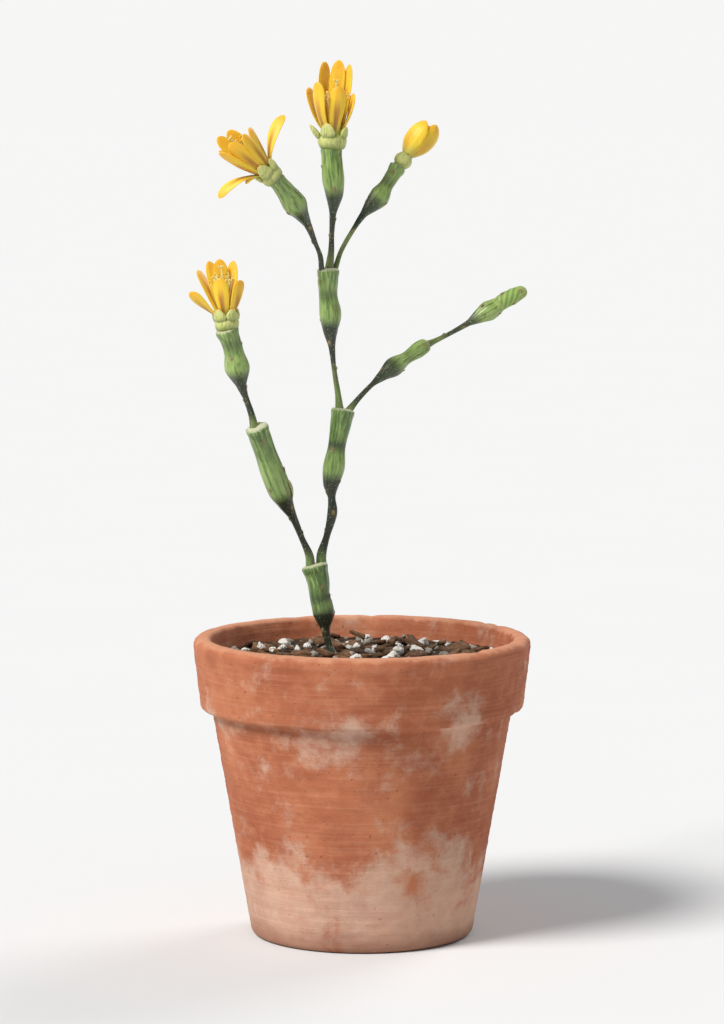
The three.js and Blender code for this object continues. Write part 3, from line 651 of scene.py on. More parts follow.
def turned_profile(corners, pitch, radii):
    """Points along a closed outline of [radius, height] corners, its corners rounded."""
    corners = np.array(corners, float)
    path = []
    for i, corner in enumerate(corners):
        before, after = corners[i - 1] - corner, corners[(i + 1) % len(corners)] - corner
        reach = min(radii[i], 0.45 * np.linalg.norm(before), 0.45 * np.linalg.norm(after))
        start, end = corner + unit(before) * reach, corner + unit(after) * reach
        for t in np.linspace(0, 1, 6):
            path.append((1 - t) ** 2 * start + 2 * t * (1 - t) * corner + t**2 * end)
    path = np.array(path + path[:1])
    length = np.concatenate([[0], np.cumsum(np.linalg.norm(np.diff(path, axis=0), axis=1))])
    keep = np.concatenate([[True], np.diff(length) > 1e-6])
    path, length = path[keep], length[keep]
    spaces = pitch(path)
    cost = np.concatenate([[0], np.cumsum(np.diff(length) / ((spaces[1:] + spaces[:-1]) / 2))])
    even = np.linspace(0, cost[-1], int(cost[-1]) + 1)[:-1]
    at = np.interp(even, cost, length)
    return np.stack([np.interp(at, length, path[:, k]) for k in (0, 1)], -1)


# Finishes. They read four marks. skin is a place on a joint as if the joint were straight, and on petals,
# leaf scales and cups it is how far along and across them a point is. The next mark is a joint's girth, how
# dark its neck and lower belly are, partly the neck's own tone and partly painted shade, and its age, and for
# a leaf scale whether it is a spur. place_on is how near a joint's crown and its leaf scales a point is, and
# how far up the joint. tone is each stone's own number, or how far along a stamen a point is.

# The colour sockets of a Mix node, by number, because their names repeat.
COLOUR_A, COLOUR_B, COLOUR_OUT = 6, 7, 2


class Wire:
    """An output of a finish's nodes. Arithmetic on it adds Math nodes."""

    def __init__(self, finish, socket):
        self.finish, self.socket = finish, socket

    def math(self, operation, first, second):
        return self.finish.add("Math", {"operation": operation}, {0: first, 1: second})

    def __add__(self, other):
        return self.math("ADD", self, other)

    def __sub__(self, other):
        return self.math("SUBTRACT", self, other)

    def __rsub__(self, other):
        return self.math("SUBTRACT", other, self)

    def __mul__(self, other):
        return self.math("MULTIPLY", self, other)

    __radd__, __rmul__ = __add__, __mul__

    def above(self, low, high):
        """0 below low, 1 above high and smooth between them. With high under low it falls instead."""
        if high < low:
            return 1 - self.above(high, low)
        return self.finish.add("MapRange", {"interpolation_type": "SMOOTHSTEP"},
                               {"Value": self, "From Min": low, "From Max": high})


class Finish:
    """A material made of nodes."""

    def __init__(self, name):
        self.material = bpy.data.materials.new(name + "_finish")
        self.material.use_nodes = True
        self.tree = self.material.node_tree
        self.tree.nodes.clear()

    def add(self, kind, settings=None, sockets=None, out=0):
        """Adds a node, sets its settings and then its sockets, and returns one of its outputs."""
        node = self.tree.nodes.new("ShaderNode" + kind)
        for name, value in (settings or {}).items():
            setattr(node, name, value)
        for name, value in (sockets or {}).items():
            if isinstance(value, Wire):
                self.tree.links.new(value.socket, node.inputs[name])
            else:
                node.inputs[name].default_value = value
        return None if out is None else Wire(self, node.outputs[out])

    def place(self):
        """The point on the object, in millimetres."""
        here = self.add("TexCoord", out="Object")
        return self.add("VectorMath", {"operation": "SCALE"}, {0: here, "Scale": 1 / MM})

    def parts(self, vector):
        """The three numbers of a vector."""
        node = self.add("SeparateXYZ", sockets={0: vector}).socket.node
        return [Wire(self, output) for output in node.outputs]

    def mark(self, name, out="Fac"):
        return self.add("Attribute", {"attribute_name": name}, out=out)

    def mark_parts(self, name):
        return self.parts(self.mark(name, "Vector"))

    def scaled(self, vector, by):
        return self.add("VectorMath", {"operation": "MULTIPLY"}, {0: vector, 1: by})

    def noise(self, vector, pitch, detail=3.0, roughness=0.55, warp=0.0):
        """Cloudy noise about 0.5, with swells about pitch millimetres apart."""
        return self.add("TexNoise", sockets={"Vector": vector, "Scale": 1 / pitch, "Detail": detail,
                                             "Roughness": roughness, "Distortion": warp})

    def cells(self, vector, pitch):
        """The distance to the nearest of many points, which lie about pitch millimetres apart."""
        return self.add("TexVoronoi", sockets={"Vector": vector, "Scale": 1 / pitch}, out="Distance")

    def painted(self, colour, **coats):
        """A colour with coats over it, each named for what it shows: how much it covers, and its colour."""
        for name, (share, coat) in coats.items():
            under, over = (value if isinstance(value, Wire) else (*value, 1) for value in (colour, coat))
            settings = {"data_type": "RGBA", "clamp_factor": True, "label": name.replace("_", " ")}
            colour = self.add("Mix", settings, {0: share, COLOUR_A: under, COLOUR_B: over}, COLOUR_OUT)
        return colour

    def bump(self, height, depth):
        """A normal for relief whose height goes from 0 to 1, and whose depth is in millimetres."""
        return self.add("Bump", sockets={"Height": height, "Distance": depth * MM, "Strength": 1.0})

    def done(self, colour, roughness, normal=None, **constants):
        """Closes the finish with its shader, and returns the material."""
        sockets = {"Base Color": colour, "Roughness": roughness}
        if normal:
            sockets["Normal"] = normal
        for name, value in constants.items():
            sockets[name.replace("_", " ").title().replace("Ior", "IOR")] = value
        shader = self.add("BsdfPrincipled", sockets=sockets)
        self.add("OutputMaterial", sockets={"Surface": shader}, out=None)
        return self.material


def lit_through(weight, reach, scale=0.6):
    """The shader's constants for flesh that light sinks into. reach is in metres, for red, green and blue."""
    return {"subsurface_weight": weight, "subsurface_radius": reach, "subsurface_scale": scale}


def clay_finish(name, pot, limed=True):
    """Fired clay: mottled and gritty, and where it is limed with a bloom, a damp foot and a worn mouth."""
    finish = Finish(name)
    place = finish.place()
    clouds = finish.noise(place, 16, 4, 0.6)
    mottle = finish.noise(place, 3.2, 5, 0.65)
    lines = finish.noise(finish.scaled(place, (0.03, 0.03, 1.0)), 0.55, 4, 0.6)
    grain = finish.noise(place, 0.22, 2, 0.6)
    fine_pits = finish.cells(place, 0.8).above(0.19, 0.08) * finish.noise(place, 1.9, 2).above(0.50, 0.66)
    large_pits = finish.cells(place, 2.3).above(0.13, 0.07) * clouds.above(0.42, 0.55)
    pits = fine_pits + large_pits * 0.9
    colour = finish.painted(
        pot.burnt,
        clay=(clouds.above(0.36, 0.66), pot.clay),
        mottles=(mottle.above(0.42, 0.75) * 0.45, (0.60, 0.25, 0.13)),
        turning_lines=(lines.above(0.45, 0.7) * 0.22, (0.64, 0.30, 0.18)),
        pits=(pits * 0.55, (0.25, 0.075, 0.04)),
        sand=(grain.above(0.62, 0.8) * 0.35, (0.78, 0.42, 0.25)),
    )
    if limed:
        height = finish.parts(place)[2]
        patches = finish.noise(place, 9, 6, 0.66, 0.2)
        low = height.above(26, 3)
        under_rim = height.above(34, 41) * height.above(46, 40)
        bloom = (patches + 0.28 * low + 0.12 * under_rim - 0.62 + pot.lime_share * 0.18).above(-0.02, 0.2)
        bloom = bloom * (0.35 + 0.65 * mottle)
        colour = finish.painted(
            colour,
            lime=(bloom * 0.72, pot.lime),
            damp_foot=((height + 5 * clouds).above(7.5, 3.0) * 0.55, (0.21, 0.065, 0.03)),
            worn_mouth=((height + 2.2 * mottle).above(54.1, 55.0) * 0.5, (0.70, 0.36, 0.22)),
        )
    relief = 0.55 * lines + 0.5 * grain + 0.4 * mottle - 0.6 * pits
    return finish.done(colour, 0.80 + 0.14 * mottle, finish.bump(relief, 0.16), specular_ior_level=0.25)


def peat_finish(mix):
    """The fine part of the mix: dark crumbs with pale flecks."""
    finish = Finish("peat")
    place = finish.place()
    crumbs = finish.noise(place, 1.1, 6, 0.7)
    grain = finish.noise(place, 0.28, 3, 0.7)
    colour = finish.painted(
        mix.peat,
        crumbs=(crumbs.above(0.35, 0.7), (0.10, 0.062, 0.036)),
        flecks=(finish.cells(place, 0.7).above(0.16, 0.06) * 0.6, (0.30, 0.23, 0.16)),
    )
    relief = 0.8 * crumbs + 0.5 * grain
    return finish.done(colour, 0.88 + 0.1 * grain, finish.bump(relief, 0.7), specular_ior_level=0.2)


def bark_finish(mix):
    """Bark: flat layers, each chip of its own brown, its worn edges paler."""
    finish = Finish("bark")
    place = finish.place()
    layers = finish.noise(finish.scaled(place, (1.0, 1.0, 4.0)), 0.9, 5, 0.68, 0.8)
    fibres = finish.noise(finish.scaled(place, (2.2, 0.5, 2.0)), 0.34, 4, 0.65)
    colour = finish.painted(
        mix.bark,
        paler_chips=(finish.mark("tone"), (0.30, 0.15, 0.068)),
        layers=(layers.above(0.42, 0.58) * 0.72, (0.050, 0.025, 0.014)),
        fibres=(fibres.above(0.54, 0.70) * 0.6, (0.42, 0.26, 0.15)),
    )
    relief = 0.9 * layers + 0.7 * fibres
    return finish.done(colour, 0.74 + 0.2 * fibres, finish.bump(relief, 0.5), specular_ior_level=0.3)


def grit_finish(mix):
    """Grit: each stone of its own grey or brown, speckled."""
    finish = Finish("grit")
    specks = finish.noise(finish.place(), 0.22, 4, 0.7)
    colour = finish.painted(
        (0.14, 0.115, 0.09),
        paler_stones=(finish.mark("tone"), mix.grit),
        pale_specks=(specks.above(0.5, 0.68) * 0.5, (0.55, 0.52, 0.47)),
        dark_specks=(specks.above(0.42, 0.3) * 0.5, (0.09, 0.075, 0.06)),
    )
    return finish.done(colour, 0.55 + 0.3 * specks, finish.bump(specks, 0.12))


def perlite_finish(mix):
    """Perlite: white foam, dirty in places."""
    finish = Finish("perlite")
    place = finish.place()
    dirt = finish.noise(place, 0.9, 4, 0.6)
    colour = finish.painted(mix.perlite, dirt=(dirt.above(0.5, 0.72) * 0.6, (0.36, 0.30, 0.23)))
    foam = finish.bump(finish.cells(place, 0.3), 0.2)
    return finish.done(colour, 0.85 + 0.1 * dirt, foam, specular_ior_level=0.3)


def skin_finish(stem):
    """The joints' green skin: corky at the neck and pale and felted on top. Its neck and lower belly are
    dark, partly the neck's own tone and partly painted shade, a painted highlight lightens the belly, and
    painted shade darkens the waist and the upper part.
    """
    finish = Finish("skin")
    skin = finish.mark("skin", "Vector")
    girth, shade, age = finish.mark_parts("growth")
    crown, near_scale, up = finish.mark_parts("place_on")
    streaks = finish.noise(finish.scaled(skin, (1.0, 1.0, 0.11)), 0.42, 4, 0.62)
    broad = finish.noise(finish.scaled(skin, (1.0, 1.0, 0.3)), 2.0, 3, 0.5)
    fine = finish.noise(finish.scaled(skin, (1.0, 1.0, 0.35)), 0.16, 3, 0.65)
    dots = finish.cells(finish.scaled(skin, (1.0, 1.0, 0.72)), 0.40)
    neck = girth.above(1.25, 0.62)
    # belly marks where a painted highlight lightens the skin, top where painted shade darkens it
    belly = up.above(0.42, 0.60) * up.above(0.86, 0.68)
    top = up.above(0.76, 0.98)
    felt = (crown * 1.25 - 0.35 * (1 - fine)).above(0.1, 0.75)
    colour = finish.painted(
        stem.skin,
        young=((1 - age) * (0.35 + 0.65 * up) + 0.2 * broad - 0.1, stem.young),
        # A painted highlight: the belly made paler
        pale_belly=(belly * 0.38, (0.38, 0.52, 0.16)),
        # Painted shade: the upper part of the joint darker, more so on older joints
        dim_top=(top * (0.10 + 0.38 * age) * (0.6 + 0.8 * streaks), (0.055, 0.12, 0.026)),
        pale_streaks=(streaks.above(0.50, 0.64) * (0.36 + 0.36 * up), (0.40, 0.53, 0.17)),
        dark_streaks=(streaks.above(0.48, 0.35) * (0.44 + 0.36 * up), (0.045, 0.105, 0.022)),
        cork=(neck * (0.45 + 0.5 * age) * broad.above(0.2, 0.6) * 0.85, stem.cork),
        # Painted shade on the lower belly and at the waist, over the dark tone of the neck
        shade=(shade * (0.86 + 0.5 * streaks) * (0.74 + 0.26 * age), stem.neck_and_shade_green),
        freckles=(dots.above(0.19, 0.12) * (0.12 + 0.50 * neck + 0.5 * shade), (0.58, 0.58, 0.40)),
        fine_mottles=(fine.above(0.56, 0.7) * 0.28, (0.30, 0.42, 0.14)),
        brown_axils=(near_scale * 0.55, (0.23, 0.13, 0.055)),
        felt=(felt * 0.82, stem.felt),
    )
    relief = 0.55 * streaks + 0.30 * fine + 0.35 * dots.above(0.16, 0.08)
    rough = 0.33 + 0.16 * fine + 0.4 * felt + 0.12 * neck
    return finish.done(colour, rough, finish.bump(relief, 0.07), specular_ior_level=0.5, coat_weight=0.32,
                       coat_roughness=0.24, **lit_through(0.12, (0.0009, 0.0014, 0.0004)))


def shoot_finish(stem):
    """The fresh shoot: pale green, striped aslant between its bracts."""
    finish = Finish("shoot")
    skin = finish.mark("skin", "Vector")
    crown, near_scale, slant = finish.mark_parts("place_on")
    fine = finish.noise(skin, 0.18, 3, 0.65)
    broad = finish.noise(skin, 1.3, 3, 0.5)
    end = crown.above(0.12, 0.45)
    colour = finish.painted(
        stem.young,
        stripes=(slant.above(0.35, 0.75) * (0.75 - 0.6 * end), (0.13, 0.26, 0.05)),
        mottled_end=(broad.above(0.47, 0.60) * end * 0.7, (0.14, 0.25, 0.05)),
        pale_flecks=(fine.above(0.5, 0.7) * 0.4, (0.50, 0.62, 0.22)),
        tip=(crown.above(0.35, 1.0) * (0.4 + 0.6 * broad), (0.44, 0.42, 0.16)),
        brown_axils=(near_scale * 0.5, (0.33, 0.16, 0.07)),
    )
    relief = 0.6 * fine + 0.3 * broad
    return finish.done(colour, 0.42 + 0.2 * fine, finish.bump(relief, 0.06),
                       **lit_through(0.18, (0.0010, 0.0014, 0.0004)))


def scale_finish(stem):
    """Leaf scales: thin and dry, reddish with a pale edge. The spurs are paler."""
    finish = Finish("leaf_scale")
    share, relative, _ = finish.mark_parts("skin")
    spur = finish.mark_parts("growth")[0]
    dry = finish.noise(finish.place(), 0.2, 3, 0.6)
    colour = finish.painted(
        (0.19, 0.24, 0.07),
        reddish_end=(share.above(0.1, 0.9), stem.scale),
        spur=(spur * 0.8, (0.50, 0.52, 0.26)),
        pale_edge=((relative * relative).above(0.45, 1.0) * 0.6, (0.50, 0.46, 0.26)),
        dry_spots=(dry.above(0.5, 0.7) * 0.35, (0.11, 0.05, 0.028)),
    )
    return finish.done(colour, 0.6 + 0.2 * dry, finish.bump(dry, 0.05))


def wool_finish(stem):
    """The pale wool on a joint's top and in its axils."""
    finish = Finish("wool")
    tint = finish.noise(finish.place(), 0.7, 2)
    colour = finish.painted(stem.felt, pale_tufts=(tint.above(0.4, 0.7), (0.74, 0.70, 0.54)))
    return finish.done(colour, 0.8 + 0.1 * tint, sheen_weight=0.3)


def cup_finish(flower):
    """The fleshy ring and scales: waxy yellow green and fluted, with painted shade in the grooves of the
    flutes and on the lower half of the ring and of each scale.
    """
    finish = Finish("cup")
    height, _, bead = finish.mark_parts("skin")
    place = finish.place()
    flutes = finish.noise(finish.scaled(place, (1.0, 1.0, 0.16)), 0.32, 3, 0.6)
    broad = finish.noise(place, 1.4, 3, 0.5)
    fine = finish.noise(place, 0.14, 2, 0.6)
    colour = finish.painted(
        flower.cup,
        yellow_clouds=(broad.above(0.35, 0.7) * 0.5, (0.66, 0.64, 0.24)),
        # Painted shade in the grooves of the flutes, heavier low down
        flutes=(flutes.above(0.53, 0.38) * (0.72 - 0.42 * height), flower.cup_shade),
        # Painted shade on the lower half of the ring and of each round scale
        folds=(height.above(0.50, 0.0) * 0.8, flower.cup_shade),
        reddish_rims=(bead * height.above(0.82, 1.0) * 0.5, (0.70, 0.38, 0.10)),
        pale_flecks=(fine.above(0.56, 0.72) * 0.3, (0.72, 0.73, 0.36)),
    )
    relief = 0.7 * flutes + 0.3 * fine
    return finish.done(colour, 0.36 + 0.2 * fine, finish.bump(relief, 0.08), coat_weight=0.12,
                       coat_roughness=0.3, **lit_through(0.2, (0.0012, 0.0014, 0.0004)))


def petal_finish(flower, name="petal", closed=False):
    """Petals: satin gold, orange at the tip and along the edge, with fine veins, a flushed band up the back
    that is partly the petal's own colour and partly painted shade, and a dark band of painted shade low along
    the middle, both fainter on a closed bud."""
    finish = Finish(name)
    share, relative, _ = finish.mark_parts("skin")
    whole = finish.mark("skin", "Vector")
    across = relative * relative
    veins = finish.noise(finish.scaled(whole, (1.1, 6.5, 0.3)), 1.0, 3, 0.6)
    streaks = finish.noise(finish.scaled(whole, (2.0, 22.0, 0.3)), 1.0, 2, 0.6)
    broad = finish.noise(finish.place(), 2.2, 2, 0.5)
    flush_and_shade_strength, midrib_shade_strength = (0.40, 0.25) if closed else (0.85, 0.70)
    # A flushed band low along the middle: partly the petal's own colour, partly painted shade
    flush = across.above(0.42, 0.0) * share.above(0.95, 0.40) * (0.45 + 0.9 * (veins - 0.3))
    # Painted shade: a dark band low along the middle of each petal
    stripe = across.above(0.20, 0.01) * share.above(0.80, 0.35) * veins.above(0.30, 0.55)
    colour = finish.painted(
        flower.petal,
        root=(share.above(0.34, 0.0), flower.root),
        tip=((share + 0.12 * broad).above(0.72, 1.08) * 0.8, flower.tip),
        edge=(across.above(0.45, 1.0) * 0.35, flower.tip),
        flush=(flush * flush_and_shade_strength, flower.midrib),
        stripe=(stripe * midrib_shade_strength, (0.33, 0.115, 0.018)),
        veins=(veins.above(0.50, 0.32) * 0.42, flower.tip),
        gold_streaks=(streaks.above(0.55, 0.75) * 0.35, (0.98, 0.74, 0.16)),
    )
    relief = 0.8 * veins + 0.15 * streaks
    return finish.done(colour, 0.36 + 0.16 * streaks, finish.bump(relief, 0.08), specular_ior_level=0.4,
                       sheen_weight=0.12, **lit_through(0.35, (0.0022, 0.0013, 0.0003), 0.7))


def thread_finish(flower):
    """Stamen threads and the style: green at the foot, pale yellow above."""
    finish = Finish("thread")
    tint = finish.noise(finish.place(), 0.6, 2)
    colour = finish.painted(
        (0.72, 0.76, 0.36),
        upper_part=(finish.mark("tone"), flower.thread),
        pale_clouds=(tint.above(0.5, 0.7) * 0.4, (0.95, 0.90, 0.62)),
    )
    return finish.done(colour, 0.45 + 0.1 * tint, **lit_through(0.2, (0.001, 0.0009, 0.0004), 0.5))


def pollen_finish(flower):
    """The dusty heads of the stamens."""
    finish = Finish("pollen")
    grains = finish.cells(finish.place(), 0.07)
    colour = finish.painted(flower.pollen, grains=(grains.above(0.5, 0.15) * 0.7, (0.98, 0.86, 0.38)))
    return finish.done(colour, 0.75 + 0.15 * grains, finish.bump(1 - grains, 0.05))


def floor_finish(stage):
    """The studio floor, almost even."""
    finish = Finish("floor")
    tint = finish.noise(finish.place(), 60, 2)
    lighter = tuple(min(1.0, value * 1.015) for value in stage.floor)
    colour = finish.painted(stage.floor, clouds=(tint, lighter))
    return finish.done(colour, 0.9 + 0.02 * tint, specular_ior_level=0.0)


# Pot and mix

def pot_outline(pot):
    """The pot's closed outline as [radius, height] corners in millimetres, and how round each corner is."""
    height, foot, rim, depth, taper, ledge, wall, floor, drain = (
        getattr(pot, name) / MM
        for name in ("height", "foot_radius", "rim_radius", "rim_depth", "rim_taper", "rim_ledge", "wall",
                     "floor", "drain_radius")
    )
    seat = height - depth
    band = rim - taper
    inner_ledge = band - ledge - wall
    mouth = rim - wall

    def inside(at):
        return foot - wall + (inner_ledge - foot + wall) * at / seat

    return [
        ((drain, 0), 0.5), ((foot, 0), 1.3), ((band - ledge, seat), 0.7), ((band, seat), 0.9),
        ((rim, height - 0.9), 1.2), ((rim - 1.0, height), 1.2), ((mouth, height), 1.3),
        ((inner_ledge, seat), 1.5), ((inside(floor), floor), 1.6), ((drain, floor), 0.6),
    ]


def inner_radius(pot, height):
    """The pot's inside radius at a height above the rim band's lower edge, in millimetres."""
    seat = (pot.height - pot.rim_depth) / MM
    ledge = (pot.rim_radius - pot.rim_taper - pot.rim_ledge - pot.wall) / MM
    mouth = (pot.rim_radius - pot.wall) / MM
    return ledge + (mouth - ledge) * (height - seat) / (pot.height / MM - seat)


def thrown_pot(pot):
    """The pot's rings: turning lines, a slightly uneven wall, and small chips along the rim."""
    corners, radii = zip(*pot_outline(pot))
    top = pot.height / MM
    rim = pot.rim_radius / MM
    middle = (pot.foot_radius / MM + rim) / 2 - 3

    def pitch(path):
        """Finer rings outside and at the mouth than inside."""
        outside = path[:, 0] > middle - 8 + path[:, 1] * 0.2
        return np.where(outside | (path[:, 1] > 48), 0.42, 1.1)

    outline = turned_profile(corners, pitch, radii)
    turn = turns(150)
    slope = np.roll(outline, -1, axis=0) - np.roll(outline, 1, axis=0)
    normal = unit(np.stack([slope[:, 1], -slope[:, 0]], -1))
    radius, height = outline[:, :1], outline[:, 1:]
    chance = np.random.default_rng(5)
    lines = np.zeros_like(height)
    for wave in chance.uniform(0.9, 3.2, 9):
        phase = chance.uniform(0, TURN)
        lines = lines + np.cos(height * TURN / wave + phase + 0.35 * np.cos(turn + phase)) / 3
    push = 0.030 * lines + 0.045 * ripple(round_axis(radius, turn, height), 2.6, 6) - 0.075
    push = push * smoothstep(height, 0.2, 1.4) * np.ones_like(turn)
    # Chips at the mouth, along the band's lower edge and at the foot
    for _ in range(15):
        at, level = chance.uniform(0, TURN), chance.choice([top, top - 0.5, top - 13, 1.2])
        size, depth = chance.uniform(0.4, 1.3), chance.uniform(0.12, 0.38)
        apart = (radius * angle_from(turn, at)) ** 2 + (1.4 * (height - level)) ** 2
        push = push - depth * np.exp(-apart / size**2) * (radius > 19) * smoothstep(height, 0.15, 1.0)
    return round_axis(radius + push * normal[:, :1], turn, height + push * normal[:, 1:])


def mix_top(pot, mix, x, y):
    """The height of the mix's top over a point, in millimetres."""
    level = mix.level / MM
    inward = smoothstep(inner_radius(pot, level) - np.hypot(x, y), 0, 4)
    wave = np.sin(x * 0.55 + 1) * np.cos(y * 0.47) + 0.6 * np.sin(y * 0.9 + x)
    spots = np.stack(np.broadcast_arrays(x, y, 0 * x), -1)
    crumbs = 0.16 * ripple(spots, 2.4, 11) + 0.12 * ripple(spots, 0.9, 12)
    heap = 0.55 * np.exp(-((x - STEM_FOOT[0]) ** 2 + (y - STEM_FOOT[1]) ** 2) / 9)
    return level + inward * (mix.swell / MM * wave) + crumbs + heap


def mix_rings(pot, mix):
    """Rings of the mix's body, with a hollow below for the crock."""
    seat = (pot.height - pot.rim_depth) / MM
    level = mix.level / MM
    bottom = pot.floor / MM + 0.3
    foot = (pot.foot_radius - pot.wall) / MM + 0.2
    ledge = inner_radius(pot, seat) - 0.15
    rim = inner_radius(pot, level) - 0.1
    hollow = [(0.5, 9.6), (11.2, 9.4), (12.2, bottom)]
    outline = [*hollow, (foot, bottom), (foot + 0.8, bottom + 1.2), (ledge, seat)]
    turn = turns(132)
    rings = [round_axis(radius, turn, height) for radius, height in outline]
    for radius in np.linspace(rim, 0.3, 62):
        ring = round_axis(radius, turn, level)
        ring[:, 2] = mix_top(pot, mix, ring[:, 0], ring[:, 1])
        rings.append(ring)
    return np.array(rings)


def turning(angles):
    """Turns about X, Y and Z in that order, as a matrix."""
    made = np.eye(3)
    for axis, angle in enumerate(angles):
        c, s = math.cos(angle), math.sin(angle)
        turn = np.eye(3)
        a, b = [i for i in range(3) if i != axis]
        turn[a, a], turn[b, b], turn[a, b], turn[b, a] = c, c, -s, s
        made = turn @ made
    return made


def add_stones(shape, spots, sizes, seed, flatness, subdivisions, boxy, tilt, sunk):
    """Adds rough stones or chips, each with a form of its own, lying on the mix."""
    chance = np.random.default_rng(seed)
    points, triangles = ball(subdivisions)
    squared = np.sign(points) * np.abs(points) ** boxy
    for number, (spot, size) in enumerate(zip(spots, sizes)):
        lumps = 1 + 0.22 * ripple(points + number * 7, 1.4, seed + number)
        chipped = 0.07 * ripple(points + number * 7, 0.45, seed + number + 500)
        body = squared * (lumps + chipped)[:, None] * (np.array(flatness) * chance.uniform(0.75, 1.25, 3))
        angles = (chance.uniform(-tilt, tilt), chance.uniform(-tilt, tilt), chance.uniform(0, TURN))
        body = body @ turning(angles).T * size
        lift = -body[:, 2].min() * (1 - 2 * sunk)
        shape.add(body + spot + (0, 0, lift), NO_QUADS, triangles, tone=chance.uniform())


def scattered(count, pot, mix, seed, apart, rim_room, foot_room):
    """Places on the mix's top, spread at random but not crowding each other, the wall or the stem."""
    chance = np.random.default_rng(seed)
    reach = inner_radius(pot, mix.level / MM) - rim_room
    spots = []
    for _ in range(count * 30):
        if len(spots) == count:
            break
        radius, turn = reach * math.sqrt(chance.uniform()), chance.uniform(0, TURN)
        x, y = radius * math.cos(turn), radius * math.sin(turn)
        if math.hypot(x - STEM_FOOT[0], y - STEM_FOOT[1]) < foot_room:
            continue
        if all(math.hypot(x - other[0], y - other[1]) > apart for other in spots):
            spots.append((x, y, float(mix_top(pot, mix, np.array(x), np.array(y)))))
    return np.array(spots)


# Loose bits on top of the mix. places is the seed for their places, the least distance apart, and the room
# at the wall and at the stem. sizes is the least share, a power that makes small ones commoner, and the
# largest size. form is what add_stones takes: boxy under 1 squares a stone, tilt is in radians, and sunk is
# the share of its height that is in the mix.
LOOSE_BITS = {
    "bark_chips": {
        "number": "chips", "finish": bark_finish, "places": (22, 1.7, 2.4, 2.2), "sizes": (0.7, 1.6, 2.3),
        "form": {"seed": 300, "flatness": (1.0, 0.62, 0.24), "subdivisions": 2, "boxy": 0.62, "tilt": 0.42,
                 "sunk": 0.28},
    },
    "grit_stones": {
        "number": "grains", "finish": grit_finish, "places": (23, 0.9, 1.0, 1.5), "sizes": (0.35, 1.0, 0.85),
        "form": {"seed": 900, "flatness": (1.0, 0.8, 0.7), "subdivisions": 2, "boxy": 0.85, "tilt": 0.6,
                 "sunk": 0.3},
    },
    "perlite_grains": {
        "number": "puffs", "finish": perlite_finish, "places": (24, 2.4, 1.6, 1.5), "sizes": (0.5, 1.0, 1.15),
        "form": {"seed": 1500, "flatness": (1.0, 0.9, 0.85), "subdivisions": 3, "boxy": 0.9, "tilt": 1.0,
                 "sunk": 0.3},
    },
}


# Stem

def scale_places(joint):
    """Heights, turns and sizes of a joint's leaf scales, its spurs first."""
    last = len(joint["stations"]) - 1
    places = [(height, math.radians(turn), size) for height, turn, size in joint.get("spurs", [])]
    count = joint["scales"]
    for i in range(count):
        share = 0.28 + 0.66 * i / (count - 1)
        places.append((share * last, i * GOLDEN_TURN + joint["stations"][0][0], None))
    return places


def ribs_and_swells(turn, level, radius, seed):
    """Ribs that deepen towards a joint's top, and broad swells, as a push outwards."""
    total = level[-1, 0]
    chance = np.random.default_rng(seed)
    ribs = np.zeros((len(level), turn.size))
    for k in chance.choice(np.arange(7, 19), 6, replace=False):
        wander = chance.uniform(0, TURN) + 0.5 * np.sin(level * chance.uniform(0.2, 0.6))
        ribs = ribs + np.cos(k * turn + wander)
    top_share = smoothstep(level, 0.30 * total, total)
    ribs = ribs / 2.4 * np.minimum(0.018 + 0.040 * top_share, 0.05 * radius)
    swells = np.zeros_like(ribs)
    for k in (1, 2, 3, 4):
        swells = swells + np.cos(k * turn + chance.uniform(0, TURN) + level * chance.uniform(-0.5, 0.5)) / k
    return ribs + swells * 0.035 * radius * smoothstep(level, 0, 2.5)


def pressed_by_scales(push, joint, heights, along, turn, radius, relief):
    """The push with a cushion under each leaf scale and a hollow in its axil, and how near a scale is."""
    near = np.zeros_like(push)
    for height, at, size in scale_places(joint):
        level = np.interp(height, heights, along)
        grown = 1.0 if size is None else 1.6 + size
        sideways = radius * angle_from(turn, at)

        def patch(rise, tall, wide):
            up = (along[:, None] - level - rise * grown) / (tall * grown)
            return np.exp(-(up**2) - (sideways / (wide * grown)) ** 2)

        dent = 0.085 * patch(-0.30, 0.36, 0.30) - 0.075 * patch(0.25, 0.42, 0.34)
        push = push + relief * dent * np.minimum(1, radius)
        near = np.maximum(near, patch(0, 0.55, 0.42))
    return push, near


def neck_shade(joint, heights, along, radius):
    """How dark each ring is: on the neck, partly its own tone and partly painted shade, with painted shade on
    the lower belly and in the hollow of the waist above it.
    """
    level, total = along[:, None], along[-1]
    # The belly starts at the first ring that is nearly as wide as the widest of the lower part
    lower = radius[: int(len(radius) * 0.72)]
    belly = heights[np.argmax(radius[:, 0] > 0.86 * lower.max())]
    dark_from, dark_rise = joint["dark"]
    belly_at = np.interp(belly, heights, along) + dark_rise
    # Dark from the neck up into the belly: the neck's own tone, with painted shade on the lower belly
    shade = smoothstep(level, dark_from * total, (dark_from + 0.14) * total)
    shade = shade * (1 - smoothstep(level, belly_at - 1.2, belly_at + 1.4))
    # A band of painted shade in the waist, where the joint pinches in above the belly
    upper = radius[:, 0] * (heights > belly + 0.6)
    if not joint.get("shoot") and upper.any():
        waist = np.argmin(np.where(upper > 0, upper, np.inf))
        pinch = 1 - upper[waist] / radius[-1, 0]
        shade = shade + 3.0 * max(pinch, 0) * hill(level, along[waist], 1.1)
    return np.minimum(shade, 1)


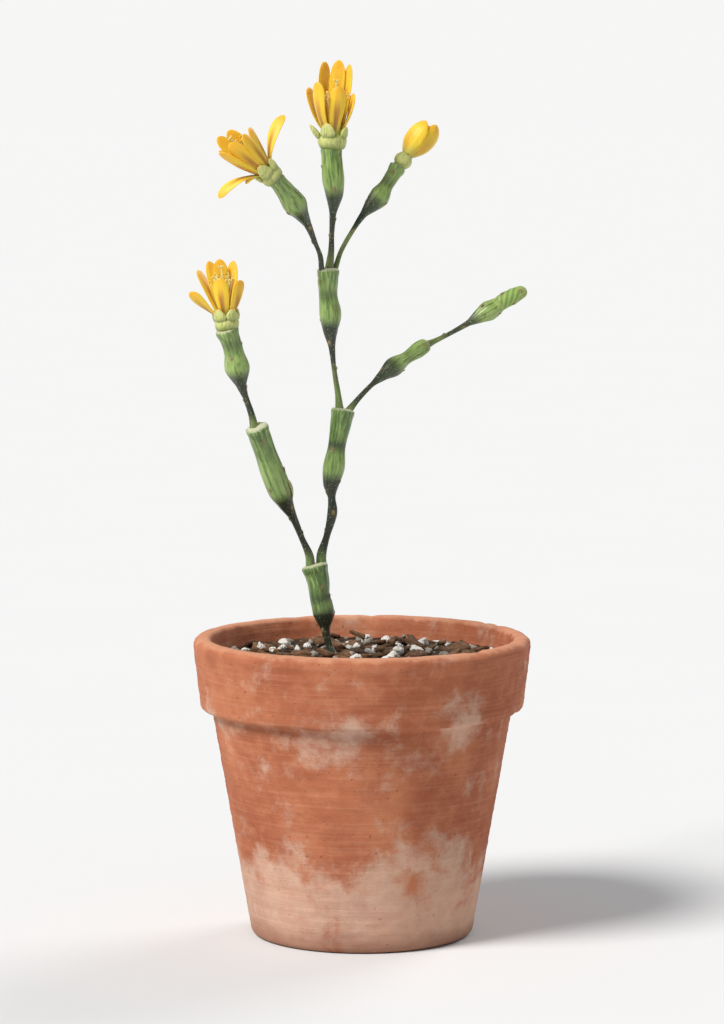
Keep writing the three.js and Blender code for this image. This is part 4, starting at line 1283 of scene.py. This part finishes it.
def crown_rings(centre, out, heading, rim, push, shoot, seed):
    """The low woolly top of a joint, or the round end of a shoot."""
    rise, blunt, steep = (rim, 1.0, 1.0) if shoot else (CROWN_RISE * rim, 0.62, 0.9)
    rings = []
    for share in CROWN_STEPS:
        angle = share * math.pi / 2
        inner = math.cos(angle) ** blunt if share < 1 else 0.02
        height = rise * math.sin(angle) ** steep
        rings.append(centre + out * ((rim + push) * inner)[:, None] + heading * height)
    rings = np.array(rings)
    if shoot:
        return rings
    woolly = ripple(rings, 0.7, seed + 3) * 0.05 * np.sin(CROWN_STEPS * math.pi / 2)[:, None]
    return rings + heading * (woolly * smoothstep(CROWN_STEPS[:, None], 0.1, 0.5))[..., None]


def joint_below(joint, reach=3):
    """The joint that this one grows from: the one whose top is nearest to its foot, within a reach in
    millimetres, or none in the mix."""
    foot = np.array(joint["stations"][0][:3], float)

    def apart(other):
        return np.linalg.norm(other["stations"][-1][:3] - foot)

    below = min(JOINTS.values(), key=apart)
    return below if apart(below) < reach else None


def sunk_foot(joint, ring, centre):
    """Rings that carry a joint's foot down into the top of the joint below, or none in the mix."""
    below = joint_below(joint)
    if below is None:
        return np.zeros((0, *ring.shape))
    top, _, _, heading = Limb(below).top()
    sunk = top - 0.9 * heading + 0.45 * (centre - top)
    return np.array([
        ring + (sunk - centre) * share + (ring - centre) * 0.12 * math.sin(share * 2.4)
        for share in (1.0, 0.75, 0.5, 0.25)
    ])


def joint_surface(joint, seed, relief):
    """A joint's limb, its rings from the sunk foot to the crown, and the marks that its skin reads."""
    limb = Limb(joint)
    shoot = joint.get("shoot", False)
    heights, along = limb.rings(RING_SPACING)
    level, total = along[:, None], along[-1]
    turn = turns(JOINT_SIDES)[None]
    radius = limb.radius(heights)[:, None]
    push = relief * ribs_and_swells(turn, level, radius, seed)
    if shoot:
        slant = 0.5 + 0.5 * np.cos(6 * turn + level * 5.2)
        push = push * 0.4 + relief * 0.05 * (slant - 0.5)
    else:
        push = push + 0.05 * hill(level, total - 0.35, 0.4)
        push = push - 0.05 * hill(level, total - 1.2, 0.7) * relief
    push, near_scale = pressed_by_scales(push, joint, heights, along, turn, radius, relief)
    centre, across, through, heading = limb.place(heights)
    out = np.sin(turn)[..., None] * across[:, None] + np.cos(turn)[..., None] * through[:, None]
    side = centre[:, None] + out * (radius + push)[..., None]
    rim = radius[-1, 0]
    foot = sunk_foot(joint, side[0], centre[0])
    crown = crown_rings(centre[-1], out[-1], heading[-1], rim, push[-1], shoot, seed)
    grid = np.concatenate([foot, side, crown])

    def padded(at_foot, values, on_crown):
        """A mark for all the rings: for the sunk foot, the side and the crown."""
        return np.concatenate([
            np.full(foot.shape[:2], at_foot), values * np.ones_like(push),
            np.broadcast_to(np.reshape(on_crown, (-1, 1)), crown.shape[:2]),
        ])

    # Each joint's skin reads its own stretch of the noise, far from the next joint's
    girth = padded(radius[0, 0], radius, rim * np.cos(CROWN_STEPS * math.pi / 2))
    height = padded(0, level, total + np.linspace(0, rim, len(crown))) + 40.0 * seed
    # The dark of the neck, with painted shade on the lower belly and the waist
    shade = padded(0, neck_shade(joint, heights, along, radius), 0)
    if shoot:
        woolly = padded(0, smoothstep(level, 0.6 * total, total) * 0.4, 0.4 + 0.6 * CROWN_STEPS)
        up = padded(0, slant, slant[-1].mean())
    else:
        woolly = padded(0, smoothstep(level, total - 0.5, total) * 0.25, 0.3 + 0.7 * CROWN_STEPS)
        up = padded(0, level / total, 1.0)
    return limb, grid, {
        "skin": np.stack([girth * np.sin(turn), girth * np.cos(turn), height], -1),
        "growth": np.stack([padded(radius[0, 0], radius, rim), shade, np.full_like(shade, joint["age"])], -1),
        "place_on": np.stack([woolly, padded(0, near_scale, 0), up], -1),
    }


def add_leaf_scale(shape, limb, place, age, stem, seed, chance):
    """Adds one leaf scale, with the tuft of wool in its axil."""
    height, at, spur_size = place
    form = SMALL_LEAF if spur_size is None else SPUR
    size = spur_size or stem.scale_size / MM
    spot = limb.spot(height, at)
    base, out, across, up = spot
    length = form["length"] * size
    leaf, where = blade(form["lean"], form["curl"], length, form["width"] * size, form["thickness"],
                        root=(form["out"], -0.4 * length), hug=-0.28 / max(size, 0.4),
                        outline=leaf_half_width, rings=16, around=16, seed=seed)
    leaf[..., 1] *= -1
    shape.add_tube(lined_up(spot, leaf), SCALE, skin=where, growth=(float(form is SPUR), 0, age))
    count = stem.tuft_wool
    roots = base + across * chance.uniform(-0.22, 0.22, (count, 1))
    roots = roots + up * chance.uniform(0.1, 0.35, (count, 1))
    ways = out + up * chance.uniform(-0.1, 1.2, (count, 1))
    ways = unit(ways + across * chance.uniform(-0.6, 0.6, (count, 1)))
    add_hairs(shape, roots - out * 0.08, ways, chance.uniform(0.25, 0.5, count), radius=0.022, chance=chance)


def add_crown_wool(shape, limb, count, chance):
    """Adds the wool on a joint's top."""
    centre, across, through, heading = limb.top()
    rim = limb.radius([limb.last])[0]
    radius = rim * np.sqrt(chance.uniform(0.05, 0.98, (count, 1)))
    turn = chance.uniform(0, TURN, (count, 1))
    out = np.sin(turn) * across + np.cos(turn) * through
    dome = CROWN_RISE * rim * np.clip(1 - (radius / rim) ** 2.6, 0, 1) ** 0.5
    roots = centre + out * radius + heading * (dome - 0.06)
    ways = heading * chance.uniform(0.4, 1.0, (count, 1)) + out * (0.1 + 0.9 * radius / rim)
    ways = unit(ways + unit(chance.normal(size=(count, 3))) * 0.45)
    add_hairs(shape, roots, ways, chance.uniform(0.22, 0.46, count), radius=0.020, chance=chance)


def dress_joint(name, seed, stem, finishes):
    """Makes one joint with its leaf scales and wool."""
    joint = JOINTS[name]
    kind = "shoot" if joint.get("shoot") else "stem"
    limb, grid, marks = joint_surface(joint, seed, stem.relief)
    shape = Shape(skin=3, growth=3, place_on=3)
    shape.add_tube(grid, SKIN, **marks)
    chance = np.random.default_rng(seed + 100)
    for place in scale_places(joint):
        add_leaf_scale(shape, limb, place, joint["age"], stem, seed, chance)
    if kind == "stem":
        add_crown_wool(shape, limb, stem.crown_wool, chance)
    return shape.piece(name + "_joint", [finishes[kind], finishes["scale"], finishes["wool"]], kind, name)


# Flowers

def standing_on(flower):
    """The place of a flower on the top of its joint, and its ways right, back and up."""
    origin = Limb(JOINTS[flower["on"]]).top()[0]
    up = unit(np.array(flower["axis"], float))
    right = unit(np.cross((0, 1, 0), up))
    return origin, np.stack([right, np.cross(up, right), up])


def planted(stand, grid, turn=90.0):
    """Moves a grid made on the +X side round the flower, and then onto its joint."""
    angle = math.radians(turn - 90)
    c, s = math.cos(angle), math.sin(angle)
    spin = np.array([[c, s, 0], [-s, c, 0], [0, 0, 1]])
    origin, ways = stand
    return origin + grid @ spin @ ways


def lathe(outline, sides, flutes=0.0, count=0, seed=0):
    """Rings round the Z axis from [radius, height] points, fluted by a share of the radius."""
    outline = np.asarray(outline, float)
    turn = turns(sides)
    phase = np.random.default_rng(seed).uniform(0, TURN, 3)
    ridge = 1 + flutes * (np.cos(count * turn + phase[0]) + 0.6 * np.cos((count - 3) * turn + phase[1])
                          + 0.4 * np.cos((2 * count + 1) * turn + phase[2]))[None]
    radius = outline[:, :1] * np.where(outline[:, :1] > 0.4, ridge, 1)
    return round_axis(radius, turn, outline[:, 1:])


def round_scale(cup, depth, width, tall, lean, seed, number):
    """One of the short round scales on a cup's ring, and the mark that its finish reads."""
    v = np.linspace(0.04, math.pi - 0.04, 26)[:, None]
    u = turns(34)[None]
    up = -np.cos(v)
    girth = np.sin(v) ** 0.84 * (1 - 0.20 * up - 0.05 * up**2)
    x = 0.52 * girth * np.cos(u)
    y = width / 2 * girth * np.sin(u)
    z = tall / 2 * (up + 0.06 * smoothstep(up, 0.6, 1)) * np.ones_like(u)
    x = x - 0.10 * (y / (width / 2)) ** 2 - 0.028 * (up + 1) ** 1.6
    grid = np.stack(np.broadcast_arrays(x, y, z), -1)
    bumps = 0.035 * ripple(grid + number * 9, 0.9, seed + number) + 0.015 * np.cos(13 * u)
    grid = grid + grid / (np.linalg.norm(grid, axis=-1, keepdims=True) + 0.2) * bumps[..., None]
    c, s = math.cos(math.radians(lean)), math.sin(math.radians(lean))
    middle = (0.94 * cup + (0.5 * s - 0.12) * tall, 0, depth + (0.5 * c - 0.285) * tall)
    grid = grid @ np.array([[c, 0, -s], [0, 1, 0], [s, 0, c]]) + middle
    return grid, np.stack(np.broadcast_arrays((up + 1) / 2, np.sin(u), 1.0), -1)


def fleshy_cup(shape, stand, flower, seed):
    """The fleshy ring with its round scales."""
    cup = flower["cup"]
    depth = CUP_DEPTH * cup
    corners = [
        (0.02, 0), (0.55, -0.03), (0.86, 0.08), (0.99, 0.32), (1.02, 0.55), (0.96, 0.85), (0.72, 1.02),
        (0.3, 1.04), (0.02, 1.04),
    ]
    fine = smooth_line(corners, np.linspace(0, len(corners) - 1, 46))
    ring = lathe(fine * (cup, depth), 84, flutes=0.010, count=17, seed=seed)
    ring = ring + unit(ring * (1, 1, 0) + 1e-9) * (0.045 * ripple(ring, 1.6, seed))[..., None]
    height = np.broadcast_to(fine[:, 1:], ring.shape[:2])
    shape.add_tube(planted(stand, ring), skin=height[..., None] * (1, 0, 0))
    for number, (turn, width, tall, lean) in enumerate(flower["beads"]):
        grid, mark = round_scale(cup, depth, width, tall, lean, seed, number)
        shape.add_tube(planted(stand, grid, turn), skin=mark)


def open_petals(shape, stand, flower, thickness, seed):
    """The receptacle and the petals of an open flower."""
    root = 0.5 * flower["cup"]
    seat = CUP_DEPTH * flower["cup"] + PETAL_SEAT
    hub = [
        (0.02, seat - 0.5), (root + 0.15, seat - 0.45), (root + 0.30, seat + 0.5), (root + 0.22, seat + 1.35),
        (root - 0.05, seat + 1.85), (0.5, seat + 1.7), (0.02, seat + 1.6),
    ]
    hub = smooth_line(hub, np.linspace(0, len(hub) - 1, 22))
    receptacle = lathe(hub, 48, flutes=0.02, count=9, seed=seed)
    shape.add_tube(planted(stand, receptacle), skin=(0.02, 0.6, 0.5))
    for number, (turn, lean, curl, length, width, twist) in enumerate(flower["petals"]):
        grid, where = blade(lean, curl, length, width, thickness, twist, (root, seat - 0.1),
                            groove=0.10, wave=0.07, seed=seed + number, ribs=3)
        shape.add_tube(planted(stand, grid, turn), skin=where + (0, 0, 3 * number))


def closed_petals(shape, stand):
    """The egg of inner petals in the bud, and the petals wrapped round it."""
    seat = BUD_SEAT * BUD["bead"]
    egg = smooth_line(BUD["egg"], np.linspace(0, len(BUD["egg"]) - 1, 30))
    egg[:, 0] = np.maximum(egg[:, 0], 0.02)
    outline = egg * (BUD["radius"], BUD["length"]) + (0, seat - 0.15)
    core = lathe(outline, 56, flutes=0.01, count=7, seed=2)
    share = np.broadcast_to(egg[:, 1:], core.shape[:2])
    shape.add_tube(planted(stand, core), skin=share[..., None] * (1, 0, 0) + (0, 0.8, 30))
    for number, (turn, lean, curl, length, width, root, twist) in enumerate(BUD["wraps"]):
        grid, where = blade(lean, curl, length * BUD["length"], width, 0.8, twist, (root, seat - 0.1), 0.17,
                            wrap_half_width, groove=0.06, wave=0.03, seed=40 + number, ribs=4, around=40)
        shape.add_tube(planted(stand, grid, turn), skin=where + (0, 0, 3 * number))


def bud_bead(shape, stand):
    """The round bead under the bud."""
    bead = BUD["bead"]
    middle = BEAD_MIDDLE * bead
    v = np.linspace(0.04, math.pi - 0.04, 44)
    outline = np.stack([bead * np.sin(v), middle - bead * np.cos(v)], -1)
    ring = lathe(outline, 72, flutes=0.008, count=13, seed=3)
    ring = ring + unit(ring - (0, 0, middle)) * (0.04 * ripple(ring, 1.2, 91))[..., None]
    height = np.broadcast_to(outline[:, 1:] / (BEAD_TOP * bead), ring.shape[:2])
    shape.add_tube(planted(stand, ring), skin=height[..., None] * (1, 0, 0))


def stamen_tuft(shape, stand, flower, filaments, seed):
    """Stamens of uneven length round a thicker style that ends in a star."""
    chance = np.random.default_rng(seed)
    floor = CUP_DEPTH * flower["cup"] + STAMEN_SEAT
    tall = flower["stamens"]
    around = turns(8)[None, :, None]
    grains, faces = ball(2)

    def rod(points, radii, tone):
        steps = np.linspace(0, len(points) - 1, 12)
        centre = smooth_line(points, steps)
        heading = unit(np.gradient(centre, axis=0))
        side = unit(np.cross(heading, (0.3, 1, 0.1)))
        other = np.cross(heading, side)
        girth = np.interp(steps, np.linspace(0, len(points) - 1, len(radii)), radii)[:, None, None]
        grid = centre[:, None] + girth * (np.cos(around) * side[:, None] + np.sin(around) * other[:, None])
        tones = np.broadcast_to(tone * (steps / steps[-1])[:, None], grid.shape[:2])
        shape.add_tube(planted(stand, grid), THREAD, tone=tones)
        return centre[-1], heading[-1]

    for number in range(filaments):
        turn = number * GOLDEN_TURN
        share = (number + 0.5) / filaments
        foot = 0.18 + 0.42 * share
        length = tall * chance.uniform(0.72, 1.0) * (1 - 0.16 * share)
        spread = 0.10 + 0.24 * share
        reach = [foot, foot + spread * length * 0.35, foot + spread * length * chance.uniform(0.75, 1.1)]
        way = np.array([math.cos(turn), math.sin(turn), 0])
        side = np.array([-way[1], way[0], 0]) * chance.uniform(-0.25, 0.25)
        points = [
            way * out + side * aside + (0, 0, floor + up)
            for out, aside, up in zip(reach, (0, 0.3, 1), (0, length * 0.5, length))
        ]
        end, heading = rod(points, (0.10, 0.075, 0.06), 1.0)
        anther = grains * (0.15, 0.19, 0.29)
        anther = anther * (1 - 0.35 * np.exp(-(anther[:, :1] / 0.05) ** 2) * (np.abs(grains[:, 1:2]) > 0.3))
        anther = anther + grains * (0.02 * ripple(grains + number * 5, 0.35, seed + number))[:, None]
        tip = chance.uniform(-0.6, 0.6, 3)
        body = anther @ turning(tip).T + end + heading * 0.14
        shape.add(planted(stand, body), NO_QUADS, faces, POLLEN, tone=1.0)
    style = [(0, 0, floor - 0.3), (0.06, 0.02, floor + tall * 0.6), (0.02, -0.05, floor + tall + 0.75)]
    top, _ = rod(style, (0.17, 0.13, 0.12), 1.2)
    for lobe in range(5):
        turn = lobe * TURN / 5 + 0.3
        way = np.array([math.cos(turn), math.sin(turn), 0])
        points = [top + (0, 0, -0.05), top + way * 0.28 + (0, 0, 0.22), top + way * 0.62 + (0, 0, 0.26)]
        rod(points, (0.09, 0.10, 0.04), 1.4)


# Operators

class CACTUS_OT_pot(bpy.types.Operator):
    """Makes the clay pot and finishes the crock in it"""

    bl_idname = "cactus.make_pot"
    bl_label = "Make the pot"

    def execute(self, context):
        pot = context.scene.cactus_pot
        shape = Shape()
        shape.add_tube(thrown_pot(pot), looped=True)
        shape.piece("clay_pot", [clay_finish("terracotta", pot)], "clay", "pot")
        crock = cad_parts["drain_crock"]
        crock.data.materials.clear()
        crock.data.materials.append(clay_finish("broken_terracotta", pot, limed=False))
        return {"FINISHED"}


class CACTUS_OT_mix(bpy.types.Operator):
    """Fills the pot with mix, bark, grit and perlite"""

    bl_idname = "cactus.fill_pot"
    bl_label = "Fill the pot"

    def execute(self, context):
        pot, mix = context.scene.cactus_pot, context.scene.cactus_mix
        bed = Shape()
        bed.add_tube(mix_rings(pot, mix))
        bed.piece("mix_bed", [peat_finish(mix)], "potting_mix", "potting_mix")
        chance = np.random.default_rng(21)
        for name, kind in LOOSE_BITS.items():
            spots = scattered(getattr(mix, kind["number"]), pot, mix, *kind["places"])
            least, power, largest = kind["sizes"]
            sizes = chance.uniform(least, 1.0, len(spots)) ** power * largest
            bits = Shape(tone=1)
            add_stones(bits, spots, sizes, **kind["form"])
            bits.piece(name, [kind["finish"](mix)], "potting_mix")
        return {"FINISHED"}


class CACTUS_OT_stem(bpy.types.Operator):
    """Grows the stem joints with their leaf scales and wool"""

    bl_idname = "cactus.grow_stem"
    bl_label = "Grow the stem"

    def execute(self, context):
        stem = context.scene.cactus_stem
        finishes = {"stem": skin_finish(stem), "shoot": shoot_finish(stem), "scale": scale_finish(stem),
                    "wool": wool_finish(stem)}
        for seed, name in enumerate(JOINTS):
            dress_joint(name, seed + 1, stem, finishes)
        return {"FINISHED"}


class CACTUS_OT_flowers(bpy.types.Operator):
    """Opens the three flowers: cups, petals and stamens"""

    bl_idname = "cactus.open_flowers"
    bl_label = "Open the flowers"

    def execute(self, context):
        settings = context.scene.cactus_flower
        cup, petal = cup_finish(settings), petal_finish(settings)
        thread, pollen = thread_finish(settings), pollen_finish(settings)
        for seed, (name, flower) in enumerate(FLOWERS.items()):
            stand = standing_on(flower)
            ring = Shape(skin=3)
            fleshy_cup(ring, stand, flower, 10 * seed + 1)
            ring.piece(name + "_fleshy_cup", [cup], "cup", name + "_cup")
            petals = Shape(skin=3)
            open_petals(petals, stand, flower, settings.thickness / MM, 50 * seed + 7)
            petals.piece(name + "_open_petals", [petal], "petal", name + "_petals")
            tuft = Shape(tone=1)
            stamen_tuft(tuft, stand, flower, settings.filaments, 70 * seed + 3)
            tuft.piece(name + "_stamen_tuft", [thread, pollen], "stamen", name + "_stamens")
        return {"FINISHED"}


class CACTUS_OT_bud(bpy.types.Operator):
    """Makes the closed bud on its round bead"""

    bl_idname = "cactus.close_bud"
    bl_label = "Close the bud"

    def execute(self, context):
        settings = context.scene.cactus_flower
        stand = standing_on(BUD)
        cup = Shape(skin=3)
        bud_bead(cup, stand)
        cup.piece("bud_bead", [cup_finish(settings)], "cup", "bud_cup")
        petals = Shape(skin=3)
        closed_petals(petals, stand)
        finish = petal_finish(settings, "bud_petal", closed=True)
        petals.piece("bud_wrapped_petals", [finish], "petal", "bud_petals")
        return {"FINISHED"}


class CACTUS_OT_stage(bpy.types.Operator):
    """Sets up the floor, the light and the camera"""

    bl_idname = "cactus.set_stage"
    bl_label = "Set the stage"

    def execute(self, context):
        scene, stage = context.scene, context.scene.cactus_stage
        mesh = bpy.data.meshes.new("floor")
        reach = 30.0
        corners = [(-reach, -reach, 0), (reach, -reach, 0), (reach, reach, 0), (-reach, reach, 0)]
        mesh.from_pydata(corners, [], [(0, 1, 2, 3)])
        mesh.materials.append(floor_finish(stage))
        floor = bpy.data.objects.new("floor", mesh)
        floor.location.z = -0.00005
        scene.collection.objects.link(floor)
        self.light(scene, stage)
        self.camera(scene, stage)
        scene.view_settings.view_transform = "Standard"
        scene.view_settings.look = "None"
        return {"FINISHED"}

    def light(self, scene, stage):
        """A wide sun from the upper left, a paler one from behind, and light from all round."""
        self.sun(scene, "key", (-52, 46), stage.key, 22, (1.0, 0.975, 0.94))
        self.sun(scene, "rim", (140, 32), stage.key * 0.35, 30, (1.0, 0.99, 0.97))
        world = bpy.data.worlds.new("studio")
        world.use_nodes = True
        tree = world.node_tree
        tree.nodes.clear()
        mix = tree.nodes.new("ShaderNodeMixShader")
        out = tree.nodes.new("ShaderNodeOutputWorld")
        paths = tree.nodes.new("ShaderNodeLightPath")
        fill, backdrop = (stage.sky, (0.95, 0.975, 1.0, 1)), (0.923, (1, 0.9975, 0.9935, 1))
        for socket, (strength, colour) in enumerate((fill, backdrop), start=1):
            shader = tree.nodes.new("ShaderNodeBackground")
            shader.inputs["Color"].default_value = colour
            shader.inputs["Strength"].default_value = strength
            tree.links.new(shader.outputs[0], mix.inputs[socket])
        tree.links.new(paths.outputs["Is Camera Ray"], mix.inputs[0])
        tree.links.new(mix.outputs[0], out.inputs["Surface"])
        scene.world = world

    def sun(self, scene, name, way, strength, spread, colour):
        """A sun that stands at an azimuth, from the front to the right, and an elevation, in degrees."""
        light = bpy.data.lights.new(name, "SUN")
        light.energy, light.angle, light.color = strength, math.radians(spread), colour
        lamp = bpy.data.objects.new(name, light)
        a, e = (math.radians(angle) for angle in way)
        towards = Vector((math.sin(a) * math.cos(e), -math.cos(a) * math.cos(e), math.sin(e)))
        lamp.rotation_mode = "QUATERNION"
        lamp.rotation_quaternion = towards.to_track_quat("Z", "Y")
        scene.collection.objects.link(lamp)

    def camera(self, scene, stage):
        """Stands back until the whole object fills the picture's height between the margins."""
        data = bpy.data.cameras.new("camera")
        data.lens, data.sensor_width = stage.lens, SENSOR_SIZE
        camera = bpy.data.objects.new("camera", data)
        scene.collection.objects.link(camera)
        scene.camera = camera
        low, high = cad_box
        sides = list(zip(low, high))
        corners = [Vector((x, y, z)) for x in sides[0] for y in sides[1] for z in sides[2]]
        back = Vector((0, -math.cos(stage.elevation), math.sin(stage.elevation)))
        up = Vector((0, math.sin(stage.elevation), math.cos(stage.elevation)))
        aim, distance = (low + high) / 2, 0.8
        half = SENSOR_SIZE / 2 / stage.lens
        for _ in range(12):
            seen = [((c - aim).dot(up)) / (distance - (c - aim).dot(back)) for c in corners]
            aim += up * (max(seen) + min(seen)) / 2 * distance
            distance *= (max(seen) - min(seen)) / 2 / (half * (1 - 2 * stage.margin))
        camera.location = aim + back * distance
        camera.rotation_mode = "QUATERNION"
        camera.rotation_quaternion = back.to_track_quat("Z", "Y")
        data.clip_start, data.clip_end = 0.01, 100


class CACTUS_PT_panel(bpy.types.Panel):
    """Sizes, colours and buttons of the cactus"""

    bl_idname = "CACTUS_PT_panel"
    bl_label = "Potted dancing bones cactus"
    bl_space_type = "VIEW_3D"
    bl_region_type = "UI"
    bl_category = "Cactus"

    def draw(self, context):
        for operator, settings in STEPS:
            box = self.layout.box()
            box.operator(operator.bl_idname)
            group = getattr(context.scene, settings)
            for name in group.bl_rna.properties.keys():
                if name not in ("rna_type", "name"):
                    box.prop(group, name)


GROUPS = {
    "cactus_pot": PotSettings, "cactus_mix": MixSettings, "cactus_stem": StemSettings,
    "cactus_flower": FlowerSettings, "cactus_stage": StageSettings,
}
STEPS = [
    (CACTUS_OT_pot, "cactus_pot"), (CACTUS_OT_mix, "cactus_mix"), (CACTUS_OT_stem, "cactus_stem"),
    (CACTUS_OT_flowers, "cactus_flower"), (CACTUS_OT_bud, "cactus_flower"),
    (CACTUS_OT_stage, "cactus_stage"),
]
CLASSES = [*GROUPS.values(), *(operator for operator, _ in STEPS), CACTUS_PT_panel]


def register():
    for made in CLASSES:
        bpy.utils.register_class(made)
    for name, group in GROUPS.items():
        setattr(bpy.types.Scene, name, PointerProperty(type=group))


def unregister():
    for name in GROUPS:
        delattr(bpy.types.Scene, name)
    for made in reversed(CLASSES):
        bpy.utils.unregister_class(made)


def main():
    register()
    for step in (bpy.ops.cactus.make_pot, bpy.ops.cactus.fill_pot, bpy.ops.cactus.grow_stem,
                 bpy.ops.cactus.open_flowers, bpy.ops.cactus.close_bud, bpy.ops.cactus.set_stage):
        step()


if __name__ == "__main__":
    main()
